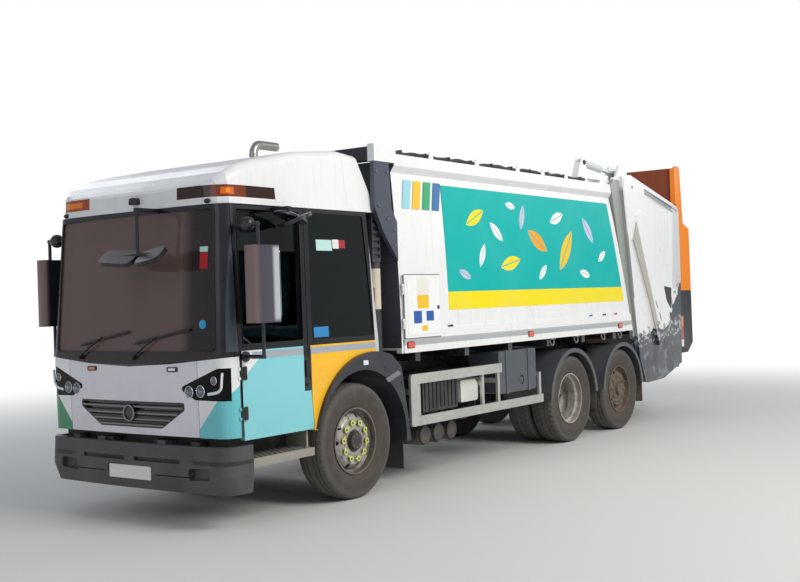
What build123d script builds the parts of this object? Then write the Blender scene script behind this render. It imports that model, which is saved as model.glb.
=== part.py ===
from build123d import *
import os
from math import atan2, cos, degrees, hypot, radians, sin

# A three-axle refuse collection truck: low-entry cab, barrel-sided body, lifting tailgate and bin lift.
# Millimetres. X points ahead, Y to the truck's left, Z up from the road.
# Stations are measured ahead of the front axle; at the end all is moved so that X=0 is mid-length.

# Running gear
front_axle_to_middle = 3080
wheelbase = 4160
bogie_spacing = 1370
tyre_radius = 522
tyre_section = 298
tyre_outer_face = 1080
twin_spacing = 332
bead_radius = 296
rim_half_width = 118
rim_lip_height = 6
rim_lip_width = 5
rim_wall = 9
disc_thickness = 13
stud_circle = 167.5
hand_hole_count = 10
hand_hole_radius = 21
hub_radius = 132
hub_cap_radius = 78
kingpin_inset = 62
kingpin_radius = 25
knuckle_height = 90
knuckle_lug = 28
axle_boss_height = 58
axle_beam_width = 90
axle_beam_height = 96
spindle_radius = 42
diff_radius = 205
axle_tube_radius = 68
spring_width = 70

# Fits
seat = 0.3
pin_gap = 0.3
running_gap = 6
panel_gap = 6

# Chassis
rail_outer = 425
rail_flange = 75
rail_web = 9
rail_low = 700
rail_high = 970
chassis_front = 1070
chassis_rear = -5950
crossmember_depth = 120

# Cab
cab_wall = 60
cab_floor_top = 790
cab_floor_thickness = 50
cab_deck_top = 1230
cab_deck_thickness = 45
cab_floor_low = cab_floor_top - cab_floor_thickness
cab_deck_low = cab_deck_top - cab_deck_thickness
tunnel_half = 470
tunnel_front = 1130
tunnel_wall = 30
front_skin = 36
front_bulge = 45
cab_corner_radius = 125
cab_ceiling = 2575
glass_thickness = 6
glass_depth = 9
sill_height = 1425
window_low = 1468
window_high = 2560
top_pane_low = 2222
door_low = 700
door_high = 2596
door_frame = 58
door_inner = 985
b_pillar = 58
screen_low = 1425
screen_high = 2560
screen_half = 985
cowl_middle = 1300
cowl_side = 1385
panel_half = 800
panel_low = 735
grille_low = 795
grille_high = 1012
grille_half_low = 385
grille_half_high = 645
grille_slats = 5
lamp_inner = 590
lamp_low = 1036
lamp_high = 1290
roof_lamp_low = 2655
roof_lamp_high = 2752
roof_lamp_inner = 552
roof_lamp_back = 960
roof_lamp_depth = 24
mirror_leaf_depth = 170
mirror_leaf_thickness = 40
mirror_leaf_tilt = 40
camera_pod_reach = 52

# Hinges of the cab's doors and of the locker's door
hinge_height = 100
knuckle_end = 24
hinge_knuckle = 13
hinge_pin = 7
door_hinge_x = 1492
door_hinge_y = 1113
door_hinge_levels = (870, 1190)
locker_hinge_x = -692
locker_hinge_y = 1130
locker_hinge_levels = (1500, 1830)

# Bumper and steps
bumper_front = 1725
bumper_half = 1122
bumper_low = 285
bumper_high = 668
bumper_wall = 55
bumper_back = 1395
plate_recess_half = 270
plate_recess_low = 362
plate_recess_high = 484
plate_recess_depth = 14
bumper_slot_low = 522
bumper_slot_high = 556
bumper_slot_depth = 34
bumper_seam = 418
step_high = 550
step_thickness = 68
step_rear = 640
step_front = 1385
step_inner = 800
step_outer = 1112

# Body
body_half = 1112
body_front = -670
body_length = 5600
body_floor_low = 1270
body_floor_high = 1310
body_rail_low = 3000
body_rail_high = 3172
body_wall = 28
body_roof = 3118
sill_rail_high = 1490
sill_rail_half = 1125
body_rear_top = -5400
body_rear_slope = 0.245
bearer_outer = 420
bearer_width = 90
rib_count = 6
locker_rear = -1320
locker_front = -700
locker_low = 1410
locker_high = 2015
locker_leaf = 26
locker_face = 1140
locker_depth = 160
side_box_inner = 760
battery_rear = -1680
battery_front = -1060
battery_outer = 1060
battery_low = 665
battery_high = 985
battery_grooves = 9
pale_box_rear = -2088
pale_box_front = -1760
pale_box_high = 925
tank_rear = -3290
tank_front = -2480
tank_inner = 700
tank_outer = 1080
tank_low = 720
tank_high = 1180
tank_strap = 8
tank_strap_width = 40
tank_plug_x = -2966
tank_plug_z = 841
tank_plug_radius = 52
tank_plug_depth = 18
locker_wall = 20

# Tailgate
tailgate_half = 1125
tailgate_wall = 90
tail_gap = 30
skin_depth = 42
roof_strip_depth = 16
rear_panel_depth = 6
fold_height = 9
hinge_x = -5550
hinge_z = 3140
hinge_pin_radius = 30
hinge_lug = 62
beam_side_gap = 8
beam_width = 84
beam_middle = tailgate_half - tailgate_wall - beam_side_gap - beam_width / 2
beam_low = 3225
beam_high = 3296
bracket_x = -4780
bracket_pin_radius = 20
ram_pin_z = 3420
ear_x = -5725
ear_z = 3335
ear_thickness = 34
ear_gap = 108
ear_stub = 14
ear_stub_radius = 22
ram_barrel_radius = 44
ram_bore = 36
ram_rod_radius = 26
ram_foot_reach = 95
ram_gland = 16
ram_piston = 30
ram_end_play = 12
ram_eye_radius = 48
ram_eye_width = 56
tailgate_range = 85

# Packing mechanism
carriage_angle = 21.9
carriage_length = 960
carriage_thickness = 80
carriage_travel = 600
blade_length = 730
blade_pivot_x = -6110
blade_pivot_z = 1930
blade_pin_radius = 35
packer_side_gap = 12

# Bin lift
lift_post_inner = 985
lift_post_outer = 1060
lift_pivot_x = -7640
lift_pivot_z = 1430
lift_tooth_count = 12


def side_face(points, y):
    """A face in the upright plane at y, from (x, z) points or (x, z, corner radius)."""
    plane = Plane(origin=(0, y, 0), x_dir=(1, 0, 0), z_dir=(0, -1, 0))
    return plane * flat_face(points)


def flat_face(points):
    """A flat face from (a, b) points, with a corner rounded where a third value gives its radius."""
    face = make_face(Polyline(*[(p[0], p[1]) for p in points], close=True))
    for p in points:
        if len(p) > 2 and p[2] > 0:
            corner = face.vertices().sort_by_distance((p[0], p[1], 0))[0]
            face = fillet(corner, p[2])
    return face


def side_plate(points, y_low, y_high):
    """An outline of (x, z) points carried across from y_low to y_high."""
    return extrude(side_face(points, y_high), y_high - y_low, dir=(0, -1, 0))


def end_plate(points, x_low, x_high):
    """An outline of (y, z) points carried ahead from x_low to x_high."""
    plane = Plane(origin=(x_low, 0, 0), x_dir=(0, 1, 0), z_dir=(1, 0, 0))
    return extrude(plane * flat_face(points), x_high - x_low, dir=(1, 0, 0))


def floor_plate(points, z_low, z_high):
    """An outline of (x, y) points carried up from z_low to z_high."""
    return extrude(Plane.XY.offset(z_low) * flat_face(points), z_high - z_low, dir=(0, 0, 1))


def block(x_low, x_high, y_low, y_high, z_low, z_high):
    """A box between its low and high sides."""
    middle = ((x_low + x_high) / 2, (y_low + y_high) / 2, (z_low + z_high) / 2)
    return Pos(*middle) * Box(x_high - x_low, y_high - y_low, z_high - z_low)


def post(x, y, z_low, z_high, radius):
    """An upright round bar."""
    return Pos(x, y, (z_low + z_high) / 2) * Cylinder(radius, z_high - z_low)


def cross_bar(x, z, y_low, y_high, radius):
    """A round bar that lies across the truck."""
    return Pos(x, (y_low + y_high) / 2, z) * Rot(90, 0, 0) * Cylinder(radius, y_high - y_low)


def long_bar(y, z, x_low, x_high, radius):
    """A round bar that lies along the truck."""
    return Pos((x_low + x_high) / 2, y, z) * Rot(0, 90, 0) * Cylinder(radius, x_high - x_low)


def other_side(shape):
    """The same piece on the truck's right."""
    return mirror(shape, Plane.XZ)


def both_sides(shape):
    """A piece and its mirrored twin."""
    return shape + other_side(shape)


def turned(profile, x, y, z):
    """A profile of (outward, radius) points turned about the wheel's own axis, facing left."""
    face = Plane(origin=(0, 0, 0), x_dir=(0, 1, 0), z_dir=(1, 0, 0)) * flat_face(profile)
    return Pos(x, y, z) * revolve(face, Axis.Y)


# Wheels
rim_lip = bead_radius + rim_lip_height
wheel_middle = tyre_outer_face - tyre_section / 2
twin_middle = wheel_middle - twin_spacing
drive_x = -wheelbase
third_x = drive_x - bogie_spacing
kingpin_y = wheel_middle - kingpin_inset
fork_outer = kingpin_y + 95


def tyre(x, y):
    """A tyre: flat tread, chamfered shoulders and bulged sidewalls, standing on the road."""
    half = tyre_section / 2
    profile = [
        (-half + 36, bead_radius),
        (-half, bead_radius + 115),
        (-half + 12, tyre_radius - 26),
        (-half + 34, tyre_radius),
        (half - 34, tyre_radius),
        (half - 12, tyre_radius - 26),
        (half, bead_radius + 115),
        (half - 36, bead_radius),
    ]
    return turned(profile, x, y, tyre_radius)


def rim(x, y, outward, nave):
    """A rim with its disc; outward is 1 or -1, and nave is how far out of the rim's middle the disc sits."""
    seat_radius = bead_radius - seat
    well = seat_radius - 26
    w = rim_half_width
    barrel = [
        (-w - rim_lip_width, rim_lip),
        (-w, rim_lip),
        (-w, seat_radius),
        (-w + 52, seat_radius),
        (-w + 68, well),
        (w - 68, well),
        (w - 52, seat_radius),
        (w, seat_radius),
        (w, rim_lip),
        (w + rim_lip_width, rim_lip),
        (w + rim_lip_width, seat_radius - rim_wall),
        (w - 54, seat_radius - rim_wall),
        (w - 70, well - rim_wall),
        (-w + 70, well - rim_wall),
        (-w + 54, seat_radius - rim_wall),
        (-w - rim_lip_width, seat_radius - rim_wall),
    ]
    if nave > 0:
        root_side = w - 76
        disc = [
            (root_side, well - 2),
            (root_side - disc_thickness, well - 2),
            (nave - disc_thickness, stud_circle + 46),
            (nave - disc_thickness, hub_radius - 4),
            (nave, hub_radius - 4),
            (nave, stud_circle + 40),
            (nave - 8, stud_circle + 50),
        ]
    else:
        root_side = -w + 2
        disc = [
            (root_side, seat_radius - 4),
            (root_side - disc_thickness * 0.4, seat_radius - rim_wall - 22),
            (nave + disc_thickness, stud_circle + 40),
            (nave + disc_thickness, hub_radius - 4),
            (nave, hub_radius - 4),
            (nave, stud_circle + 46),
            (root_side - disc_thickness * 0.4 - 14, seat_radius - rim_wall - 8),
            (root_side - 4, seat_radius - 4),
        ]
    wheel = turned(barrel, 0, 0, 0) + turned(disc, 0, 0, 0)
    hole_circle = stud_circle + 62
    for index in range(hand_hole_count):
        angle = 360 / hand_hole_count * (index + 0.5)
        hole = Pos(0, 0, hole_circle) * Rot(90, 0, 0) * Cylinder(hand_hole_radius, 500)
        wheel -= Rot(0, angle, 0) * hole
    facing = wheel if outward > 0 else other_side(wheel)
    return Pos(x, y, tyre_radius) * facing


def hub(x, y, inward, outward):
    """The turning hub of a left wheel: a drum, its flange and its cap, bored for the spindle."""
    solid = cross_bar(x, tyre_radius, y + inward, y + outward, hub_radius)
    solid += cross_bar(x, tyre_radius, y + outward - 1, y + outward + 34, hub_cap_radius)
    bore = cross_bar(x, tyre_radius, y + inward - 1, y + inward + 54, spindle_radius + pin_gap)
    return solid - bore


def steered_wheel(x):
    """A left single wheel's tyre and rim with hub, in that order."""
    nave = rim_half_width - 22
    turning = rim(x, wheel_middle, 1, nave) + hub(
        x, wheel_middle, fork_outer - wheel_middle + running_gap, nave + 4
    )
    return tyre(x, wheel_middle), turning


def twin_wheels(x):
    """The left twins' tyres, and their two rims bolted back to back on one hub."""
    tyres = tyre(x, wheel_middle) + tyre(x, twin_middle)
    half_gap = twin_spacing / 2
    rims = rim(x, wheel_middle, 1, -half_gap) + rim(x, twin_middle, -1, -half_gap)
    rims += hub(x, twin_middle, -20, half_gap + 70)
    return tyres, rims


def knuckle(x):
    """A left steering knuckle: a fork on the kingpin, its spindle and its arm."""
    z = tyre_radius
    lugs = block(
        x - 50, x + 50, kingpin_y - 45, fork_outer, z + knuckle_height - knuckle_lug, z + knuckle_height
    )
    lugs += block(
        x - 50, x + 50, kingpin_y - 45, fork_outer, z - knuckle_height, z - knuckle_height + knuckle_lug
    )
    web = block(x - 50, x + 50, fork_outer - 28, fork_outer, z - knuckle_height, z + knuckle_height)
    pin = post(x, kingpin_y, z - knuckle_height - 14, z + knuckle_height + 14, kingpin_radius)
    spindle = cross_bar(x, z, fork_outer - 2, fork_outer + 54, spindle_radius)
    arm = block(
        x - 215,
        x - 40,
        kingpin_y - 45,
        kingpin_y - 15,
        z - knuckle_height,
        z - knuckle_height + knuckle_lug,
    )
    return lugs + web + pin + spindle + arm


def beam_axle(x):
    """A forged beam with a bored boss for a kingpin at each end, a drop in its middle and spring seats."""
    z = tyre_radius
    half = axle_beam_width / 2
    reach = kingpin_y - 30
    beam = end_plate(
        [
            (-reach, z - axle_beam_height / 2),
            (-560, z - axle_beam_height / 2),
            (-460, z - axle_beam_height / 2 - 70),
            (460, z - axle_beam_height / 2 - 70),
            (560, z - axle_beam_height / 2),
            (reach, z - axle_beam_height / 2),
            (reach, z + axle_beam_height / 2),
            (560, z + axle_beam_height / 2),
            (460, z + axle_beam_height / 2 - 70),
            (-460, z + axle_beam_height / 2 - 70),
            (-560, z + axle_beam_height / 2),
            (-reach, z + axle_beam_height / 2),
        ],
        x - half,
        x + half,
    )
    boss = post(x, kingpin_y, z - axle_boss_height, z + axle_boss_height, kingpin_radius + 34)
    bore = post(x, kingpin_y, z - 200, z + 200, kingpin_radius + pin_gap)
    beam = beam + both_sides(boss) - both_sides(bore)
    return beam + spring_packs(x, z - 24)


def spring_packs(x, z_low):
    """A leaf spring each side, standing on the axle and reaching the rail's lower flange in two hangers."""
    middle = rail_outer - spring_width / 2
    low, high = middle - spring_width / 2, middle + spring_width / 2
    top = rail_low - seat
    leaf = side_plate(
        [
            (x - 560, top - 62),
            (x - 300, z_low + 44),
            (x + 300, z_low + 44),
            (x + 560, top - 62),
            (x + 560, top - 38),
            (x + 300, z_low + 92),
            (x - 300, z_low + 92),
            (x - 560, top - 38),
        ],
        low,
        high,
    )
    seat_block = block(x - 70, x + 70, low, high, z_low - 2, z_low + 60)
    hangers = block(
        x - 590, x - 540, low, high, top - 90, top
    ) + block(x + 540, x + 590, low, high, top - 90, top)
    return both_sides(leaf + seat_block + hangers)


def drive_axle():
    """The driven axle: its tube, differential, spindles and springs."""
    z = tyre_radius
    inner_face = twin_middle - 20
    tube = cross_bar(drive_x, z, -inner_face + running_gap, inner_face - running_gap, axle_tube_radius)
    case = Pos(drive_x, 0, z) * Sphere(diff_radius)
    case += Pos(drive_x + 150, 0, z + 20) * Rot(0, 90, 0) * Cylinder(95, 220)
    reach = inner_face + 50
    spindles = cross_bar(drive_x, z, -reach, reach, spindle_radius)
    return tube + case + spindles + spring_packs(drive_x, z + axle_tube_radius - 10)


def chassis_frame():
    """Two channel rails, open side inwards, with crossmembers, and the cab's mounts bolted to their webs."""
    rail = block(chassis_rear, chassis_front, rail_outer - rail_flange, rail_outer, rail_low, rail_high)
    rail -= block(
        chassis_rear - 1,
        chassis_front + 1,
        rail_outer - rail_flange - 1,
        rail_outer - rail_web,
        rail_low + rail_web,
        rail_high - rail_web,
    )
    frame = both_sides(rail)
    for station in (1005, -1050, -2300, -3350, -4850, -5890):
        frame += block(
            station - crossmember_depth / 2,
            station + crossmember_depth / 2,
            -rail_outer + rail_web - 1,
            rail_outer - rail_web + 1,
            rail_low + 60,
            rail_high - 60,
        )
    low_mount = block(780, 880, rail_outer + seat, rail_outer + 110, rail_low + 10, cab_floor_low - seat)
    deck_mount = block(
        -250, -170, rail_outer - rail_flange, rail_outer, rail_high - 1, cab_deck_low - seat
    )
    return frame + both_sides(deck_mount) + both_sides(low_mount)


def engine_block():
    """Engine and gearbox as one plain mass between the rails, with the shaft to the driven axle."""
    inner = rail_outer - rail_flange - 15
    mass = block(-300, 940, -inner, inner, 560, 1060)
    mass += block(-900, -290, -230, 230, 620, 960)
    web_inner = rail_outer - rail_web - seat
    for station in (-820, 350):
        mass += block(station - 50, station + 50, -web_inner, web_inner, rail_low + 80, rail_high - 90)
    ahead = (-895, 690)
    behind = (drive_x + 260 + seat, tyre_radius + 20)
    run = hypot(ahead[0] - behind[0], ahead[1] - behind[1])
    slope = degrees(atan2(ahead[1] - behind[1], ahead[0] - behind[0]))
    middle = ((ahead[0] + behind[0]) / 2, (ahead[1] + behind[1]) / 2)
    shaft = Pos(middle[0], 0, middle[1]) * Rot(0, 90 - slope, 0) * Cylinder(48, run)
    shaft -= block(behind[0] - 100, behind[0], -200, 200, 400, 700)
    return mass + shaft


# Cab outlines: the front is bowed in plan, its corners are round, and it leans in towards the roof.
cab_sections = [
    # height, front, half width, rear
    (690, 1688, 1106, -352),
    (1320, 1700, 1106, -325),
    (2600, 1612, 1050, -250),
]
roof_sections = [
    # station, half width below, half width above, top, corner radius
    (1612, 430, 420, 2735, 40),
    (1590, 860, 840, 2765, 50),
    (1555, 965, 945, 2800, 60),
    (1490, 1030, 1005, 2858, 75),
    (1380, 1050, 1018, 2922, 85),
    (1165, 1050, 1012, 2984, 95),
    (600, 1050, 1006, 3098, 95),
    (40, 1050, 1002, 3152, 95),
    (-206, 1050, 1002, 3128, 95),
    (-396, 1050, 1046, 2664, 30),
]
roof_foot = 2600


def plan_outline(front, half, rear, height, inset):
    """The cab's outline in plan: straight sides, round corners and a bowed front."""
    front, half, rear = front - inset, half - inset, rear + inset
    radius = cab_corner_radius - min(inset, cab_corner_radius - 20)
    bowed = ThreePointArc((front - front_bulge, half), (front, 0), (front - front_bulge, -half))
    sides = Polyline(
        (front - front_bulge, -half), (rear, -half), (rear, half), (front - front_bulge, half)
    )
    face = make_face(bowed + sides)
    for side in (1, -1):
        corner = face.vertices().sort_by_distance((front - front_bulge, side * half, 0))[0]
        face = fillet(corner, radius)
    return Plane.XY.offset(height) * face


def lofted(sections, inset):
    """A form through plan outlines, drawn in all round by inset."""
    faces = [plan_outline(front, half, rear, height, inset) for height, front, half, rear in sections]
    return loft(faces, ruled=True)


def cab_layer(depth, thickness):
    """The part of the cab's wall between two depths."""
    return lofted(cab_sections, depth) - lofted(cab_sections, depth + thickness)


def grown(points, amount):
    """An outline moved out by amount all round, or in where it is negative."""
    face = flat_face(points)
    return offset(face, amount, kind=Kind.INTERSECTION)


def side_prism(points, amount, y_low, y_high):
    """A side outline, grown by amount, carried across from y_low to y_high."""
    plane = Plane(origin=(0, y_high, 0), x_dir=(1, 0, 0), z_dir=(0, -1, 0))
    return extrude(plane * grown(points, amount), y_high - y_low, dir=(0, -1, 0))


def front_prism(points, amount, x_low, x_high):
    """A front outline, grown by amount, carried ahead from x_low to x_high."""
    plane = Plane(origin=(x_low, 0, 0), x_dir=(0, 1, 0), z_dir=(1, 0, 0))
    return extrude(plane * grown(points, amount), x_high - x_low, dir=(1, 0, 0))


# Cab outlines seen from the side and from ahead
door_front_line = [(1476, door_low), (1514, 1670), (1505, door_high)]
door_rear_line = [(625, door_high), (672, sill_height), (620, door_low)]
door_outline = door_front_line + door_rear_line
handle_low = 1040
handle_high = 1405
handle_depth = 8
handle_outline = [
    (655, handle_low, 8),
    (720, handle_low, 20),
    (732, handle_high, 20),
    (679, handle_high, 8),
]
door_window = [
    (1512 - door_frame, window_low, 20),
    (1506 - door_frame, window_high, 20),
    (626 + door_frame, window_high, 20),
    (671 + door_frame, window_low, 20),
]
quarter_window = [
    (626 - b_pillar, window_high, 26),
    (-195, window_high, 26),
    (-262, window_low, 26),
    (671 - b_pillar, window_low, 26),
]
screen_outline = [
    (-screen_half, screen_low, 50),
    (screen_half, screen_low, 50),
    (screen_half - 35, screen_high, 50),
    (-screen_half + 35, screen_high, 50),
]
front_bay = [
    (-1200, panel_low),
    (1200, panel_low),
    (1200, cowl_side),
    (500, cowl_middle + 22),
    (0, cowl_middle),
    (-500, cowl_middle + 22),
    (-1200, cowl_side),
]
centre_panel = [
    (-panel_half, panel_low), (panel_half, panel_low), (panel_half, 1500), (-panel_half, 1500)
]
grille_outline = [
    (-grille_half_low, grille_low, 40),
    (grille_half_low, grille_low, 40),
    (grille_half_high, grille_high - 62, 20),
    (grille_half_high, grille_high, 20),
    (-grille_half_high, grille_high, 20),
    (-grille_half_high, grille_high - 62, 20),
]
lamp_outline = [
    (lamp_inner, lamp_low + 92, 25),
    (lamp_inner + 175, lamp_low, 45),
    (1200, lamp_low - 6),
    (1200, lamp_high + 4),
    (1010, lamp_high, 20),
]
lamp_back = 1590
bumper_lamp_outline = [(690, 395, 25), (930, 405, 25), (915, 500, 25), (700, 490, 25)]
arch_radius = 640
arch_lip = 818
arch_lap = 30
arch_middle = -190
arch_centre = 500


def door_cut(amount):
    """The space of the left door, seen from the side, grown by amount."""
    return side_prism(door_outline, amount, door_inner, 1300)


def ahead_of_doors(gap):
    """Everything ahead of the doors' front edges."""
    edge = [(x + gap, z) for x, z in door_front_line]
    foot, head = (edge[0][0], 600), (edge[-1][0], 2700)
    return side_plate([foot] + edge + [head, (2100, 2700), (2100, 600)], -1300, 1300)


def cab_shell():
    """The cab's structure: sides behind the doors, rear wall, pillars, header and lower front wall."""
    inner_sections = [(680, 1688, 1106, -352), (1320, 1700, 1106, -325), (cab_ceiling, 1614, 1051, -250)]
    shell = lofted(cab_sections, 0) - lofted(inner_sections, cab_wall)
    shell -= both_sides(door_cut(0))
    shell -= front_prism(screen_outline, 0, 1300, 1900)
    shell -= both_sides(side_prism(quarter_window, 0, 700, 1300))
    shell -= block(-600, step_rear, -1040, 1040, 500, cab_deck_top - cab_deck_thickness - 1)
    shell -= block(620, 2000, -1300, 1300, 500, door_low + 35)
    skins = front_prism(front_bay, seat, 1400, 2000) & ahead_of_doors(-40)
    shell -= cab_layer(-10, front_skin + seat + 10) & skins
    shell -= both_sides(cross_bar(arch_middle, arch_centre, 900, 1300, arch_lip - arch_lap))
    return shell


def cab_floor():
    """The low floor between the doors, the riser behind it and the deck over the wheels and the engine."""
    half = 1106 - cab_wall - 8
    low = block(step_rear, 1610, -half, half, cab_floor_top - cab_floor_thickness, cab_floor_top)
    riser = block(
        step_rear - 40, step_rear, -half, half, cab_floor_top - cab_floor_thickness, cab_deck_top
    )
    deck = block(
        -352 + cab_wall + 10, step_rear - 1, -half, half, cab_deck_top - cab_deck_thickness, cab_deck_top
    )
    tunnel = block(
        step_rear - 2, tunnel_front, -tunnel_half, tunnel_half, cab_floor_top - 1, cab_deck_top - 60
    )
    hollow = block(
        step_rear - 60,
        tunnel_front - tunnel_wall,
        -tunnel_half + tunnel_wall,
        tunnel_half - tunnel_wall,
        600,
        cab_deck_top - 60 - tunnel_wall,
    )
    inside = lofted(cab_sections, cab_wall + seat)
    return (low + riser + deck + tunnel - hollow) & inside


def roof_form(inset):
    """The high roof's form through its cross-sections, drawn in at the front and sides by inset."""
    faces = []
    for station, below, above, top, radius in roof_sections:
        x = station - inset if station > 1400 else station
        low, high = below - inset, above - inset
        outline = [
            (-low, roof_foot + seat), (low, roof_foot + seat), (high, top, radius), (-high, top, radius)
        ]
        plane = Plane(origin=(x, 0, 0), x_dir=(0, 1, 0), z_dir=(1, 0, 0))
        faces.append(plane * flat_face(outline))
    return loft(faces, ruled=True)


def cab_roof():
    """The high roof: a brow that rises and runs back, rounded along its edges, and a sloping rear face."""
    return roof_form(0) - roof_lamp_space(roof_form(roof_lamp_depth + seat), seat)


def roof_lamp_space(core, gap):
    """The shallow space of the roof's amber lamps, which wrap its front corners, outside a core."""
    space = block(
        roof_lamp_back - gap, 2000, roof_lamp_inner - gap, 1300, roof_lamp_low - gap, roof_lamp_high + gap
    )
    return both_sides(space - core)


def roof_lamps():
    """Amber lamps round the roof's front corners."""
    return roof_form(3) & roof_lamp_space(roof_form(roof_lamp_depth), 0)


def side_slab(depth, thickness):
    """The flat slab between two depths of the cab's left side, above its knee."""
    (knee, _, half_knee, _), (top, _, half_top, _) = cab_sections[1:]
    outer_knee, outer_top = half_knee - depth, half_top - depth
    return end_plate(
        [
            (outer_knee, knee),
            (outer_top, top),
            (outer_top - thickness, top),
            (outer_knee - thickness, knee),
        ],
        -1000,
        2000,
    )


def cab_glass():
    """Windscreen and rear quarter windows, bent with the cab's form and set into its openings."""
    screen = cab_layer(glass_depth, glass_thickness) & front_prism(screen_outline, -seat, 1300, 1900)
    quarter = side_prism(quarter_window, -seat, 700, 1300) & side_slab(glass_depth, glass_thickness)
    return screen + both_sides(quarter)


def hinge_fixed(x, y, level):
    """A hinge's fixed half: two knuckles on a pin."""
    ends = post(x, y, level, level + knuckle_end, hinge_knuckle)
    ends += post(x, y, level + hinge_height - knuckle_end, level + hinge_height, hinge_knuckle)
    return ends + post(x, y, level, level + hinge_height, hinge_pin)


def hinge_barrel(x, y, level):
    """A hinge's moving half: the middle knuckle, bored for the pin."""
    low, high = level + knuckle_end + seat, level + hinge_height - knuckle_end - seat
    return post(x, y, low, high, hinge_knuckle) - post(x, y, low - 1, high + 1, hinge_pin + pin_gap)


def door():
    """A left door: a leaf as thick as the cab's wall, with its window cut out and its hinge knuckles."""
    leaf = cab_layer(0, cab_wall) & door_cut(-panel_gap)
    leaf -= side_prism(door_window, 0, door_inner, 1300)
    for level in door_hinge_levels:
        leaf -= post(door_hinge_x, door_hinge_y, level - 3, level + hinge_height + 3, hinge_knuckle + 3)
        low, high = level + knuckle_end + seat, level + hinge_height - knuckle_end - seat
        strap = block(door_hinge_x - 66, door_hinge_x, 1100, door_hinge_y + 4, low, high)
        strap -= post(door_hinge_x, door_hinge_y, low - 1, high + 1, hinge_pin + pin_gap)
        leaf += strap + hinge_barrel(door_hinge_x, door_hinge_y, level)
    grip = side_prism(handle_outline, 0, 1060, 1300) & lofted(cab_sections, -handle_depth)
    hollow = side_prism(handle_outline, -14, door_inner, 1300) - lofted(cab_sections, handle_depth)
    hollow &= block(0, 2000, 0, 2000, handle_low + 110, handle_high - 110)
    return leaf + grip - hollow


def door_glass(with_lower_pane):
    """A left door's fixed top pane, and its wound-up lower pane if there is one, in one sheet."""
    pane = side_prism(door_window, -seat, 700, 1300) & side_slab(cab_wall / 2, glass_thickness)
    if not with_lower_pane:
        pane &= block(-2000, 2000, 700, 1300, top_pane_low, 2700)
    return pane


def door_mirrors():
    """A left door's mirrors: the tall head on its two arms, and the kerb mirror below the door's top edge."""
    head = floor_plate(
        [(1290, 1225, 40), (1600, 1250, 50), (1570, 1390, 50), (1305, 1400, 40)], 1640, 2250
    )
    pod = Pos(1470, 1200, 2420) * Sphere(62)
    arm = cross_bar(1470, 2420, 1000, 1320, 20)
    stay = post(1470, 1310, 2200, 2425, 15)
    lower = cross_bar(1440, 1372, 1112, 1320, 16) + post(1440, 1310, 1360, 1700, 15)
    foot = cross_bar(1440, 1372, 1090, 1122, 42)
    kerb_arm = block(985, 1035, 1030, 1240, 2564, 2584)
    kerb = Pos(960, 1250, 2470) * Rot(12, 18, 0) * Cylinder(150, 30)
    kerb_stay = post(1000, 1225, 2470, 2570, 14)
    return head + lower + kerb + kerb_stay + stay + (
        (pod + arm + foot + kerb_arm) - lofted(cab_sections, -seat)
    )


def front_panel():
    """The centre panel below the windscreen, with the grille's opening and the lamps' inner ends cut out."""
    panel = cab_layer(0, front_skin) & front_prism(front_bay, 0, 1400, 2000)
    panel &= front_prism(centre_panel, -panel_gap / 2, 1400, 2000)
    panel -= front_prism(grille_outline, 0, 1400, 2000)
    return panel - both_sides(front_prism(lamp_outline, seat, lamp_back, 2000))


def corner_panels():
    """The two corner panels, which wrap round to the doors, with the lamps cut out and the doors' hinges."""
    panel = cab_layer(0, front_skin) & front_prism(front_bay, 0, 1400, 2000)
    panel &= block(1300, 2000, panel_half + panel_gap / 2, 1300, 600, 1600)
    panel &= ahead_of_doors(panel_gap)
    panel -= front_prism(lamp_outline, seat, lamp_back, 2000)
    for level in door_hinge_levels:
        panel -= post(door_hinge_x, door_hinge_y, level - 3, level + hinge_height + 3, hinge_knuckle + 3)
        for low in (level, level + hinge_height - knuckle_end):
            panel += block(
                door_hinge_x, door_hinge_x + 36, 1099, door_hinge_y + 4, low, low + knuckle_end
            )
        panel += hinge_fixed(door_hinge_x, door_hinge_y, level)
    return both_sides(panel)


def headlamps():
    """The lamp units, flush with the panels they cross."""
    unit = cab_layer(2, front_skin - 2) & front_prism(lamp_outline, 0, lamp_back + seat, 2000)
    return both_sides(unit & ahead_of_doors(panel_gap + 30))


def grille():
    """A framed grille of slats, as a flat-sided band in the panel's opening."""
    band = cab_layer(4, front_skin - 4) & front_prism(grille_outline, -seat, 1400, 2000)
    openings = front_prism(grille_outline, -16, 1400, 2000)
    pitch = (grille_high - grille_low) / grille_slats
    for index in range(grille_slats):
        middle = grille_low + pitch * (index + 0.5)
        slot = block(1400, 2000, -900, 900, middle - pitch * 0.3, middle + pitch * 0.3)
        band -= openings & slot
    return band


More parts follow.
